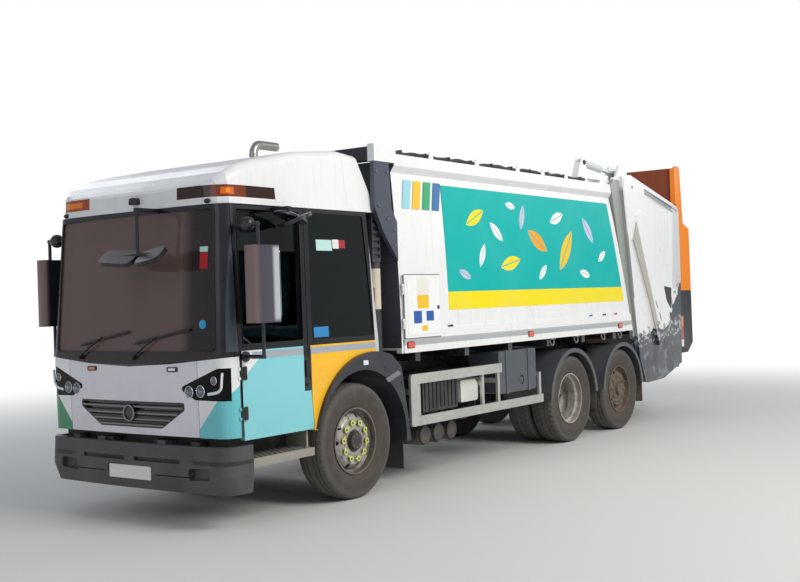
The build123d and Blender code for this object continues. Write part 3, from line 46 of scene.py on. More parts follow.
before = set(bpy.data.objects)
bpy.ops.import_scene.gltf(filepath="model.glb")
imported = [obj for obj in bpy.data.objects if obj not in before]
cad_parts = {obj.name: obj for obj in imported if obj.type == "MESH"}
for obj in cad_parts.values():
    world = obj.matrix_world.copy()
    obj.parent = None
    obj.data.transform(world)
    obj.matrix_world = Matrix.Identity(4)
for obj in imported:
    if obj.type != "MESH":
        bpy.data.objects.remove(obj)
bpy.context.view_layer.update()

# Stations are counted from the front axle, ahead as plus, in metres.
tyre_low, tyre_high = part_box("tyre_front_left")
axle_x = (tyre_low[0] + tyre_high[0]) / 2
axle_z = (tyre_low[2] + tyre_high[2]) / 2
tyre_width = tyre_high[1] - tyre_low[1]
wheel_middle = (tyre_low[1] + tyre_high[1]) / 2
drive_x = -4.160
third_x = -5.530
twin_spacing = 0.332

# Side, station, body, node of the tyre and kind of each wheel
wheels = [
    (1, 0.0, "wheel_front_left", "tyre_front_left", "steered"),
    (-1, 0.0, "wheel_front_right", "tyre_front_right", "steered"),
    (1, drive_x, "wheels_drive_left", "tyres_drive_left", "driven"),
    (-1, drive_x, "wheels_drive_right", "tyres_drive_right", "driven"),
    (1, third_x, "wheel_third_left", "tyre_third_left", "third"),
    (-1, third_x, "wheel_third_right", "tyre_third_right", "third"),
]


# Surfaces that trim lies on
def front_x(y, z):
    """The cab's front: its station at the middle, less a bow that grows with the square of y."""
    middle = np.interp(z, [0.69, 1.32, 2.60], [1.688, 1.700, 1.612])
    return middle - 0.045 * (np.abs(y) / 1.106) ** 2


def cab_side(z):
    """Half the cab's width at a height."""
    return np.interp(z, [0.69, 1.32, 2.60], [1.106, 1.106, 1.050])


def body_side(z):
    """Half the refuse body's width: upright up to 1.5 m, then an arc of radius 15.6 m that leans in."""
    up = np.maximum(np.asarray(z, float) - 1.5, 0.0)
    return 1.112 - 0.0146 * up - (15.6 - np.sqrt(15.6 ** 2 - up ** 2)) * 0.58


def on_front(y, z, lift):
    """A point of the cab's front, moved ahead by the lift."""
    return float(front_x(y, z)) + lift, y, z


# Meshes
def quads(rows, columns, close_rows=False, close_columns=False):
    """Faces of a grid of rows by columns: each joins a point to the next in its row and in the next row."""
    row = np.arange(rows if close_rows else rows - 1)
    column = np.arange(columns if close_columns else columns - 1)
    i, j = np.meshgrid(row, column, indexing="ij")
    i_next, j_next = (i + 1) % rows, (j + 1) % columns
    corners = [i * columns + j, i_next * columns + j, i_next * columns + j_next, i * columns + j_next]
    return np.stack(corners, axis=-1).reshape(-1, 4)


def piece(name, forms, material, body="chassis", angle=35, closed=True):
    """One object from several (points, faces) forms, moved from the axle's frame to the model's, with its
    doubles merged, its faces turned outwards where it is closed, and edges sharper than the angle kept."""
    points, faces, start = [], [], 0
    for form_points, form_faces in forms:
        form_points = np.asarray(form_points, float).reshape(-1, 3)
        points.append(form_points)
        faces.append(form_faces + start)
        start += len(form_points)
    placed = np.concatenate(points) + (axle_x, 0.0, 0.0)
    mesh = bpy.data.meshes.new(name)
    mesh.from_pydata(placed.tolist(), [], np.concatenate(faces).tolist())
    work = bmesh.new()
    work.from_mesh(mesh)
    bmesh.ops.remove_doubles(work, verts=work.verts, dist=1e-5)
    if closed:
        bmesh.ops.recalc_face_normals(work, faces=work.faces)
    work.to_mesh(mesh)
    work.free()
    mesh.shade_smooth()
    mesh.set_sharp_from_angle(angle=radians(angle))
    mesh.materials.append(material)
    made = bpy.data.objects.new(name, mesh)
    bpy.context.scene.collection.objects.link(made)
    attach(made, body)
    return made


def sided(forms, sign):
    """The forms as they are for the left side, or as their mirror images for the right one."""
    return [(np.asarray(points, float).reshape(-1, 3) * (1, sign, 1), faces) for points, faces in forms]


def mirrored(forms):
    """The forms and their mirror images across the truck."""
    return forms + sided(forms, -1)


def laid(axis, along, u, v):
    """Points with one place along the axis and two square to it."""
    order = {"x": (along, u, v), "y": (u, along, v), "z": (u, v, along)}[axis]
    return np.stack(order, axis=-1).reshape(-1, 3)


def turned(profile, centre, axis="y", turns=48):
    """A profile of (distance from the axis, station along it) turned about an axis through the centre."""
    profile = np.asarray(profile, float)
    angle = np.linspace(0, 2 * pi, turns, endpoint=False)[:, None]
    out, along = profile[None, :, 0], profile[None, :, 1] + 0 * angle
    points = laid(axis, along, out * np.cos(angle), out * np.sin(angle)) + np.asarray(centre, float)
    return points, quads(turns, len(profile), close_rows=True)


def drum(centre, radius, low, high, axis="y", edge=0.004, turns=32):
    """A round disc or bolt head: a profile from the axis out, over a rounded rim and back to the axis."""
    inner, near, far = radius - edge, radius - edge * 0.3, edge * 0.3
    profile = [
        (0, low), (inner, low), (near, low + far), (radius, low + edge),
        (radius, high - edge), (near, high - far), (inner, high), (0, high),
    ]
    return turned(profile, centre, axis, turns)


def corner_curves(before, corner, after, reach, steps):
    """A quadratic curve at each corner between the points at the reach on both its sides: the square of
    1 - t of the start, twice t times 1 - t of the corner and the square of t of the end."""
    start = corner + (before - corner) / np.linalg.norm(before - corner, axis=1)[:, None] * reach
    end = corner + (after - corner) / np.linalg.norm(after - corner, axis=1)[:, None] * reach
    t = np.linspace(0, 1, steps)[None, :, None]
    curve = (1 - t) ** 2 * start[:, None] + 2 * t * (1 - t) * corner[:, None] + t ** 2 * end[:, None]
    return curve.reshape(-1, corner.shape[1])


def rounded(corners, radius, steps=5):
    """A closed outline with each corner rounded."""
    corners = np.asarray(corners, float)
    return corner_curves(np.roll(corners, 1, axis=0), corners, np.roll(corners, -1, axis=0), radius, steps)


def panel(u0, v0, u1, v1, radius, steps=5):
    """A rounded rectangle between two corners."""
    return rounded([(u0, v0), (u1, v0), (u1, v1), (u0, v1)], radius, steps)


def bent(corners, bend):
    """A line through corners, each of them rounded."""
    corners = np.asarray(corners, float)
    curve = corner_curves(corners[:-2], corners[1:-1], corners[2:], bend, 6)
    return np.concatenate([corners[:1], curve, corners[-1:]])


def ellipse(u, v, radius_u, radius_v, count=40):
    """Points of an ellipse."""
    angle = np.linspace(0, 2 * pi, count, endpoint=False)
    return np.stack([u + radius_u * np.cos(angle), v + radius_v * np.sin(angle)], axis=-1)


def plate(outline, low, high, axis="y", edge=0.002):
    """A flat plate on an outline square to the axis, from low to high along it, with its rims drawn in."""
    outline = np.asarray(outline, float)
    middle = outline.mean(axis=0)
    away = outline - middle
    inner = middle + away * (1 - edge / np.linalg.norm(away, axis=1))[:, None]
    centre = middle + away * 0
    flat = np.stack([centre, inner, outline, outline, inner, centre])
    level = np.array([low, low, low + edge, high - edge, high, high])[:, None] + 0 * flat[:, :, 0]
    return laid(axis, level, flat[:, :, 0], flat[:, :, 1]), quads(6, len(outline), close_columns=True)


def box(low, high, radius=0.006):
    """A box with round upright corners and soft rims."""
    (x0, y0, z0), (x1, y1, z1) = low, high
    radius = min(radius, 0.49 * (x1 - x0), 0.49 * (y1 - y0))
    edge = min(0.003, 0.4 * (z1 - z0))
    return plate(panel(x0, y0, x1, y1, radius, 4), z0, z1, "z", edge)


def carried(path, section):
    """A closed section of (across, up) points carried along a path: each ring stands square to the run."""
    path = np.asarray(path, float)
    run = np.gradient(path, axis=0)
    run /= np.linalg.norm(run, axis=1)[:, None]
    up = np.zeros_like(run) + (0.0, 0.0, 1.0)
    up[np.abs(run[:, 2]) > 0.9] = (1.0, 0.0, 0.0)
    across = np.cross(run, up)
    across /= np.linalg.norm(across, axis=1)[:, None]
    up = np.cross(across, run)
    section = np.asarray(section, float)
    rings = path[:, None] + across[:, None] * section[None, :, :1] + up[:, None] * section[None, :, 1:]
    closed = np.concatenate([rings[:1] * 0 + path[:1, None], rings, rings[:1] * 0 + path[-1:, None]])
    return closed.reshape(-1, 3), quads(len(path) + 2, len(section), close_columns=True)


def strung(x, y, z, section):
    """A section carried along a line whose places come one axis at a time."""
    return carried(np.stack(np.broadcast_arrays(x, y, z), axis=-1), section)


def looped(outline):
    """An outline whose first point comes again at its end, as two rows."""
    return np.concatenate([outline, outline[:1]]).T


def pipe(corners, radius, bend=0.03, count=12):
    """A round pipe through corners."""
    return carried(bent(corners, bend), ellipse(0, 0, radius, radius, count))


def patch(u, v, surface, thickness=0.001):
    """A thin sheet over a grid of u by v: surface gives its outer points, and its back lies behind them."""
    grid_u, grid_v = np.meshgrid(u, v, indexing="ij")
    outer = np.stack(surface(grid_u, grid_v, 0.0), axis=-1)
    back = np.stack(surface(grid_u, grid_v, -thickness), axis=-1)
    rows, columns = grid_u.shape
    return np.concatenate([back[:1], outer, back[-1:]]).reshape(-1, 3), quads(rows + 2, columns)


# Masks of the space past a plane, as (x, y, z, distance)
def ahead(x):
    return (1, 0, 0, x)


def behind(x):
    return (-1, 0, 0, -x)


def left_of(y):
    return (0, 1, 0, y)


def right_of(y):
    return (0, -1, 0, -y)


def above(z):
    return (0, 0, 1, z)


def below(z):
    return (0, 0, -1, -z)


def within(half):
    """The space that lies nearer to the truck's middle than half, where its inner faces are."""
    return [right_of(half), left_of(-half)]


# Materials
def linear(hex_colour):
    """An sRGB hex colour as linear values with alpha."""
    channels = np.array([int(hex_colour[i : i + 2], 16) for i in (1, 3, 5)]) / 255
    straight = np.where(channels <= 0.04045, channels / 12.92, ((channels + 0.055) / 1.055) ** 2.4)
    return (*straight.tolist(), 1.0)


def give(material, socket, value):
    """Sets a socket to a value, or links an output to it."""
    if isinstance(value, bpy.types.NodeSocket):
        material.node_tree.links.new(value, socket)
    else:
        socket.default_value = value


def add(material, kind, *values, output=None, **settings):
    """Adds one node and returns its output of that name, or else the first one in use. Values go to its
    sockets in their order. A setting with a capital is a socket too, and any other is the node's property."""
    node = material.node_tree.nodes.new("ShaderNode" + kind)
    sockets = dict(enumerate(values))
    for name, value in settings.items():
        if name[0].isupper():
            sockets[name] = value
        else:
            setattr(node, name, value)
    for key, value in sockets.items():
        give(material, node.inputs[key], value)
    return node.outputs[output] if output else next(one for one in node.outputs if one.enabled)


def new_material(name, colour, roughness=0.5, **sockets):
    """A material with its shader, from typical values of the real finish."""
    material = bpy.data.materials.new(name)
    material.use_nodes = True
    material.diffuse_color = linear(colour)
    feed(material, Base_Color=linear(colour), Roughness=roughness, **sockets)
    return material


def feed(material, **sockets):
    """Sets the shader's own sockets, or links outputs to them."""
    shader = material.node_tree.nodes["Principled BSDF"]
    for name, value in sockets.items():
        give(material, shader.inputs[name.replace("_", " ")], value)


def station(material):
    """The point on the piece, counted from the front axle."""
    here = add(material, "TexCoord", output="Object")
    return add(material, "VectorMath", here, (axle_x, 0.0, 0.0), operation="SUBTRACT")


def blotches(material, here, size, low=0.35, high=0.7, least=0.0, most=1.0, detail=4.0, rough=0.6):
    """Patches about as large as size: least where the noise is under low, and most where it is over high."""
    noise = add(material, "TexNoise", Vector=here, Scale=1 / size, Detail=detail, Roughness=rough)
    return add(material, "MapRange", noise, low, high, least, most)


def pitted(material, here, size, depth, strength=1.0, detail=4.0):
    """A rough surface: dents about as large as size, with the depth given."""
    noise = add(material, "TexNoise", Vector=here, Scale=1 / size, Detail=detail, Roughness=0.6)
    feed(material, Normal=add(material, "Bump", Height=noise, Distance=depth, Strength=strength))


def ribbed(material, scale, direction, depth, strength, waver=0.0):
    """Fine ribs moulded into a lamp's plastic, square to a direction and 0.314 m / scale apart, which is 8 to
    12 mm, so that they show. Gives their height."""
    here = station(material)
    waves = add(material, "TexWave", output="Fac", Vector=here, Scale=scale, Distortion=waver,
                bands_direction=direction)
    feed(material, Normal=add(material, "Bump", Height=waves, Distance=depth, Strength=strength))
    return waves


def region(material, here, planes, edge=0.0015, ragged=0.0):
    """A mask of the space beyond every plane, each given as (x, y, z, distance), where a point counts when
    its share along (x, y, z) passes the distance. A ragged mask wanders by that much at its edges."""
    mask = None
    for *way, distance in planes:
        share = add(material, "VectorMath", here, way, operation="DOT_PRODUCT")
        if ragged:
            share = add(material, "Math", share, blotches(material, here, 0.2, 0.3, 0.7, -ragged, ragged))
        step = add(material, "MapRange", share, distance - edge, distance + edge)
        mask = step if mask is None else add(material, "Math", mask, step, operation="MULTIPLY")
    return mask


def layered(material, base, *layers):
    """A colour with others laid over it in turn, each where its mask is one."""
    colour = linear(base) if isinstance(base, str) else base
    # A mix node takes its two colours at sockets 6 and 7.
    for mask, over in layers:
        mixed = add(material, "Mix", mask, data_type="RGBA")
        give(material, mixed.node.inputs[6], colour)
        give(material, mixed.node.inputs[7], linear(over) if isinstance(over, str) else over)
        colour = mixed
    return colour


def dusted(material, here, colour, top=1.0, strength=0.5):
    """Road dust over a colour: thick near the ground, gone above the top height, and patchy."""
    height = add(material, "SeparateXYZ", here, output="Z")
    fall = add(material, "MapRange", height, 0.2, top, strength, 0.0)
    share = add(material, "Math", fall, blotches(material, here, 0.35), operation="MULTIPLY")
    return layered(material, colour, (share, "#8C8375"))


def painted(name, base, patches=(), roughness=0.24, dust_top=1.3, dust=0.35, streaks=0.0, coat=0.35):
    """Sprayed two-pack panel paint: smooth and glossy, with its coloured areas, dusty low down and with faint
    streaks of rain dirt. Each patch is (colour, planes), and may end with how ragged its edge is, and then
    with the size of the specks that it is broken up into."""
    material = new_material(
        name, base, roughness, Coat_Weight=coat, Coat_Roughness=0.12, Specular_IOR_Level=coat
    )
    here = station(material)
    layers = []
    for colour, planes, *wear in patches:
        mask = region(material, here, planes, ragged=wear[0] if wear else 0.0)
        if len(wear) > 1:
            speckle = blotches(material, here, wear[1], 0.50, 0.58, detail=6.0)
            mask = add(material, "Math", mask, speckle, operation="MULTIPLY")
        layers.append((mask, colour))
    if streaks:
        tall = add(material, "VectorMath", here, (1.0, 1.0, 0.06), operation="MULTIPLY")
        layers.append((blotches(material, tall, 0.045, 0.55, 0.85, 0.0, streaks, detail=3.0), "#6F6A60"))
    feed(
        material,
        Base_Color=dusted(material, here, layered(material, base, *layers), dust_top, dust),
        Roughness=blotches(material, here, 0.6, 0.3, 0.75, roughness * 0.8, roughness * 1.5),
    )
    pitted(material, here, 0.012, 0.00015, 0.35, detail=2.0)
    return material


def moulded(name, colour, patches=(), roughness=0.6, grit=0.004, dust=0.5, dust_top=1.1, fade="#6A6A68",
            faded=0.3, edge=0.0015):
    """Moulded plastic: matt, with a fine grit, faded in patches and dusty low down."""
    material = new_material(name, colour, roughness)
    here = station(material)
    layers = [(region(material, here, planes, edge), over) for over, planes in patches]
    worn = blotches(material, here, 0.22, 0.45, 0.85, 0.0, faded)
    tone = layered(material, colour, *layers, (worn, fade))
    feed(material, Base_Color=dusted(material, here, tone, dust_top, dust))
    pitted(material, here, grit, 0.0006, 0.5, detail=2.0)
    return material


def steel(name, colour, worn="#6B4A33", wear=0.35, roughness=0.5, metallic=0.0, dust=0.6, dust_top=1.3):
    """Painted or bare plate steel in hard use: rust and scrapes in patches, and dust low down."""
    material = new_material(name, colour, roughness, Metallic=metallic)
    here = station(material)
    blotch = blotches(material, here, 0.16, 0.55, 0.72, 0.0, wear, detail=6.0, rough=0.7)
    speck = blotches(material, here, 0.02, 0.6, 0.75, 0.0, wear, detail=3.0)
    tone = layered(material, colour, (blotch, worn), (speck, worn))
    dull = min(roughness * 1.5, 1.0)
    feed(
        material,
        Base_Color=dusted(material, here, tone, dust_top, dust),
        Roughness=blotches(material, here, 0.09, 0.3, 0.7, roughness * 0.8, dull),
    )
    pitted(material, here, 0.008, 0.0008, 0.5)
    return material


def smeared(name, colour, roughness, size, low, high, least, most, **sockets):
    """A bright hard surface, such as glass or plated metal, whose gloss is dulled in smears of that size."""
    material = new_material(name, colour, roughness, **sockets)
    feed(material, Roughness=blotches(material, station(material), size, low, high, least, most))
    return material


def glazed(name, tint, alpha, patches=()):
    """Float glass with a tint: the inside shows through it, darkened, under sharp reflections."""
    material = smeared(name, tint, 0.03, 0.05, 0.5, 0.9, 0.03, 0.10, IOR=1.52, Alpha=alpha)
    here = station(material)
    layers = [(region(material, here, planes, 0.06), over) for over, planes in patches]
    feed(material, Base_Color=layered(material, tint, *layers))
    return material


def lens(name, colour):
    """A lamp lens moulded in acrylic: deep clear colour over ribs that are drawn at 12 mm, darkened along the
    ribs by painted shade.
    """
    material = new_material(name, colour, 0.08, IOR=1.49, Coat_Weight=0.6)
    waves = ribbed(material, 25.0, "Y", 0.0015, 0.5, 0.2)
    shade = add(material, "MapRange", waves, 0.0, 1.0, 0.0, 0.25)
    feed(material, Base_Color=layered(material, colour, (shade, "#201008")))
    return material


def hub_distance(material, here, axle):
    """The distance of a point from a wheel's axis."""
    spoke = add(material, "VectorMath", here, (axle, 0.0, axle_z), operation="SUBTRACT")
    flat = add(material, "VectorMath", spoke, (1, 0, 1), operation="MULTIPLY")
    return add(material, "VectorMath", flat, operation="LENGTH")


def dress(material, *nodes, angle=32):
    """Gives pieces of the model their finish."""
    for node in nodes:
        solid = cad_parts[node]
        if not solid.material_slots:
            raise RuntimeError("no material slot on " + node)
        for material_slot in solid.material_slots:
            material_slot.material = material
        solid.data.shade_smooth()
        solid.data.set_sharp_from_angle(angle=radians(angle))


# Colours of the panels, from the real truck
cab_black = "#15171A"
slate = "#4A505C"
pale_white = "#EDEEEE"
door_blue = "#86D3DB"
corner_teal = "#66C6D0"
far_green = "#0E8A5A"
stripe_grey = "#A7ADB8"
side_yellow = "#FFC11E"
lift_orange = "#F58A1F"
sill_top = 1.418


class TruckFinish(bpy.types.PropertyGroup):
    """Colours and sizes that an owner would change."""

    banner_colour: bpy.props.FloatVectorProperty(
        name="Banner colour", description="Ground colour of the panel on the body's side", subtype="COLOR",
        size=4, min=0.0, max=1.0, default=linear("#00B1AC"),
    )
    tread_depth: bpy.props.FloatProperty(
        name="Tread depth", description="Depth of the tyres' grooves", unit="LENGTH", subtype="DISTANCE",
        default=0.013, min=0.002, max=0.02,
    )
    lamp_strength: bpy.props.FloatProperty(
        name="Lamp strength", description="Power of the main studio lamp", unit="POWER",
        default=1050.0, min=0.0,
    )


def finish():
    """The values that an owner has set."""
    return bpy.context.scene.truck_finish


class TRUCK_OT_cab(bpy.types.Operator):
    """Paints the cab, its panels and its glass"""

    bl_idname = "truck.cab"
    bl_label = "Cab finish"

    def execute(self, context):
        # Two-pack paint on pressed steel: glossy black, with flat areas of colour that end sharply
        shell = painted("cab_shell_paint", cab_black, [
            ("#2A201F", [ahead(1.600), above(1.300), below(1.440)]),
            (slate, [ahead(1.440), (0, 1, 0.045, 1.133), above(sill_top)]),
            (slate, [ahead(1.440), (0, -1, 0.045, 1.133), above(sill_top)]),
            (side_yellow, [behind(0.640), below(sill_top)]),
            (stripe_grey, [behind(0.640), above(1.345), below(1.402)]),
            ("#C9CACC", [behind(-0.268)]),
            # Painted shade: past a thin white edge, the cab's rear face is dark slate
            ("#4B4C54", [behind(-0.318)]),
            # Painted shade: the inner walls are near black, as the dim inside of the cab
            ("#232427", [*within(1.052), behind(1.625), ahead(-0.262)]),
        ])
        dress(shell, "cab_shell")
        # The same paint on a moulded roof: white, with runs of rain dirt
        roof = [("#55565A", [below(2.601)])]
        dress(painted("cab_roof_paint", pale_white, roof, roughness=0.3, streaks=0.15), "cab_roof")
        leaf = [
            (door_blue, [below(sill_top)]),
            (pale_white, [(0.612, 0, 0.791, 1.8513), below(sill_top)]),
            (stripe_grey, [behind(1.36), above(1.345), below(1.404)]),
            (cab_black, [behind(0.735), below(sill_top), above(1.036), (0.9995, 0, -0.0316, 0.6195)]),
            ("#131416", [ahead(1.477)]),
            ("#2A2B2F", within(1.053)),
        ]
        door = painted("door_paint", cab_black, leaf, roughness=0.22, dust_top=1.1, dust=0.25)
        dress(door, "door_left", "door_right")
        # White panel paint, tinted lilac-grey as painted shade and reflection on the cab's front
        front = painted("front_panel_paint", "#DFDDE4", [("#3C3E42", [behind(1.640)])], roughness=0.25)
        dress(front, "front_panel")
        corner = []
        for sign, tone in ((1, corner_teal), (-1, far_green)):
            corner.append((tone, [(0, sign * 0.757, -0.653, 0.0812), ahead(1.620)]))
            corner.append((tone, [(-0.564, 0, -0.826, -1.802), (0, sign, 0, 1.02), behind(1.620)]))
        corner.append(("#131416", [behind(1.508)]))
        dress(painted("corner_panel_paint", pale_white, corner), "corner_panels")
        # Gloss black ABS: deep and clean, it mirrors the floor
        dress(moulded("grille_plastic", "#101114", roughness=0.22, dust=0.25, faded=0.1), "grille")
        # Grained polypropylene: dull grey, paler where the sun has faded it
        # A near black band painted as the shade inside the bumper's slot
        slot_shade = [("#18181A", [above(0.522), below(0.556), behind(1.700)])]
        bumper = moulded(
            "bumper_plastic", "#47464A", slot_shade, roughness=0.5, dust=0.25, dust_top=0.8, fade="#5B5853"
        )
        dress(bumper, "bumper")
        # Laminated float glass, partly see-through and darker at the sides: its brownish tint is a painted
        # reflection, and the near part of the screen is painted darker as the shade of the cab inside
        darker = [("#0C1412", [behind(1.0)]), ("#33292B", [ahead(1.0), left_of(0.66)])]
        dress(glazed("windscreen_glass", "#75605B", 0.78, darker), "cab_glass")
        dress(glazed("door_window_glass", "#0C1412", 0.72), "door_glass_left", "door_glass_right")
        # Glossy moulded shells. The tall heads carry a pink painted highlight at their front, a slate painted
        # sheen on their outer face, and a pale pierced strip along their rear outer edge.
        heads = []
        for sign in (1, -1):
            for tone, out, end, low, high in (
                ("#7C6864", 1.225, ahead(1.545), 1.635, 2.26),
                ("#4E4B57", 1.385, behind(1.560), 1.635, 2.26),
                ("#B9BDC1", 1.372, behind(1.392), 1.66, 2.235),
            ):
                heads.append((tone, [(0, sign, 0, out), end, above(low), below(high)]))
        shells = moulded(
            "mirror_housing", "#24262C", heads,
            roughness=0.28, dust=0.0, faded=0.1, fade="#4A4850", edge=0.016,
        )
        dress(shells, "mirrors_left", "mirrors_right", angle=50)
        leaves = moulded("leaf_mirror_housing", "#17181B", roughness=0.34, dust=0.0, faded=0.0)
        dress(leaves, "front_mirrors", angle=50)
        # Moulded plastics in use: treads grey with dirt, smooth arches, a coarse rubber floor, matt trim
        steps = moulded("step_plastic", "#A39E94", [("#1A1B1D", within(0.803))], dust=0.6)
        dress(steps, "cab_steps")
        arches = moulded("arch_plastic", "#2F3138", roughness=0.3, dust=0.35, dust_top=0.9, faded=0.2)
        dress(arches, "front_arches")
        dress(moulded("cab_floor_rubber", "#2A2B2D", roughness=0.8, grit=0.006), "cab_floor")
        dress(moulded("fascia_plastic", "#34363B", roughness=0.65, dust=0.1), "dashboard")
        dress(moulded("seat_frame_plastic", "#202226"), "seats")
        return {"FINISHED"}


class TRUCK_OT_lamps(bpy.types.Operator):
    """Fits the lamps: housings, projectors, light strips, amber bars and tail lamps"""

    bl_idname = "truck.lamps"
    bl_label = "Lamps"

    def execute(self, context):
        # Smoked polycarbonate: almost black, with a soft gleam over slight waves
        cover = new_material("headlamp_cover", "#08090B", 0.14, IOR=1.46, Specular_IOR_Level=0.12)
        pitted(cover, station(cover), 0.03, 0.0004, 0.3)
        dress(cover, "headlamps")
        # Coloured acrylic: brown at the rims. The roof lamps' orange bands are painted light, glowing where
        # sunlight strikes through the unlit cover.
        amber = lens("amber_lens", "#F57A14")
        glow = [
            ("#7A3510", [ahead(1.30), left_of(0.90)]),
            ("#E86A10", [ahead(1.43), left_of(0.975), above(2.676), below(2.732)]),
            ("#FFA42C", [ahead(1.47), left_of(1.005), above(2.690), below(2.722)]),
            ("#A8480F", [right_of(-0.5)]),
            ("#F5851E", [right_of(-0.66), left_of(-0.97), above(2.680), below(2.728)]),
        ]
        bar = painted("roof_lamp_cover", "#331B13", glow, roughness=0.10, dust=0.0)
        dress(bar, "roof_lamps", angle=60)
        fields = [("#E0701A", [above(1.26)]), ("#DADADA", [below(1.06)])]
        dress(painted("tail_lamp_lens", "#A01410", fields, roughness=0.1), "tail_lamps")
        # Clear acrylic and a metal-coated reflector: both bright, and broken up by fine ribs
        clear = new_material("clear_lamp_plastic", "#E8EDF2", 0.06, IOR=1.49, Coat_Weight=0.5)
        ribbed(clear, 26.0, "Y", 0.001, 0.4)
        chrome = new_material("lamp_reflector", "#D8DADC", 0.08, Metallic=1.0)
        ribbed(chrome, 40.0, "Z", 0.0004, 0.3)

        bezels, eyes = [], []
        bulge = np.linspace(0, pi / 2, 7)
        for y, z, radius in ((0.705, 1.100, 0.041), (0.828, 1.108, 0.041), (0.973, 1.194, 0.026)):
            x = float(front_x(y, z))
            outer = radius + 0.008
            ring = [
                (outer, -0.010), (outer, 0.004), (radius + 0.003, 0.006), (radius, 0.001), (radius, -0.010),
            ]
            bezels.append(turned(ring, (x, y, z), "x", 40))
            dome = [(radius * sin(a), -0.004 + 0.010 * cos(a)) for a in bulge]
            eyes.append(turned([*dome, (radius, -0.012), (0, -0.012)], (x, y, z), "x", 40))
        piece("headlamp_bezels", mirrored(bezels), chrome)
        # Pressed glass: a small dark eye with a sharp highlight
        eye = smeared(
            "projector_glass", "#56616C", 0.04, 0.02, 0.3, 0.8, 0.03, 0.08, IOR=1.52, Coat_Weight=1.0
        )
        piece("headlamp_projectors", mirrored(eyes), eye)

        corners = [
            (1.058, 1.256), (1.050, 1.200), (1.043, 1.135), (1.012, 1.104), (0.965, 1.094), (0.905, 1.086),
        ]
        path = [(float(front_x(y, z)) + 0.001 - 0.072 * max(0.0, y - 0.985), y, z) for y, z in corners]
        strip = [carried(bent(path, 0.012), ellipse(0, 0, 0.0075, 0.012, 10))]
        piece("headlamp_light_strips", mirrored(strip), clear)

        small, rims = [], []
        marker_z = 1.279
        for y in (0.527, -0.472):
            x = float(front_x(y, marker_z))
            for reach, corner_z, radius, low, high, forms in (
                (0.040, (-0.011, -0.009, 0.013, 0.011), 0.008, -0.004, 0.011, small),
                (0.062, (-0.021, -0.018, 0.022, 0.019), 0.014, -0.008, 0.008, rims),
            ):
                places = zip((y - reach, y + reach, y + reach, y - reach), corner_z)
                outline = rounded([(u, marker_z + v) for u, v in places], radius)
                forms.append(plate(outline, x + low, x + high, "x", 0.003))
        piece("front_marker_clear", small[:1], clear)
        piece("front_marker_amber", small[1:], amber)
        # Two small lamp pods of smooth black plastic under the roof's lamps
        black = moulded("lamp_bezel_plastic", "#18181A", roughness=0.3, dust=0.1, faded=0.05)
        pod = [(0.020 * sin(a), -0.034 * cos(a)) for a in np.linspace(0, pi, 9)]
        for y in (0.883, -0.900):
            rims.append(turned(pod, (float(front_x(y, 2.60)) + 0.004, y, 2.624), "y", 20))
        piece("front_marker_bezels", rims, black)
        return {"FINISHED"}


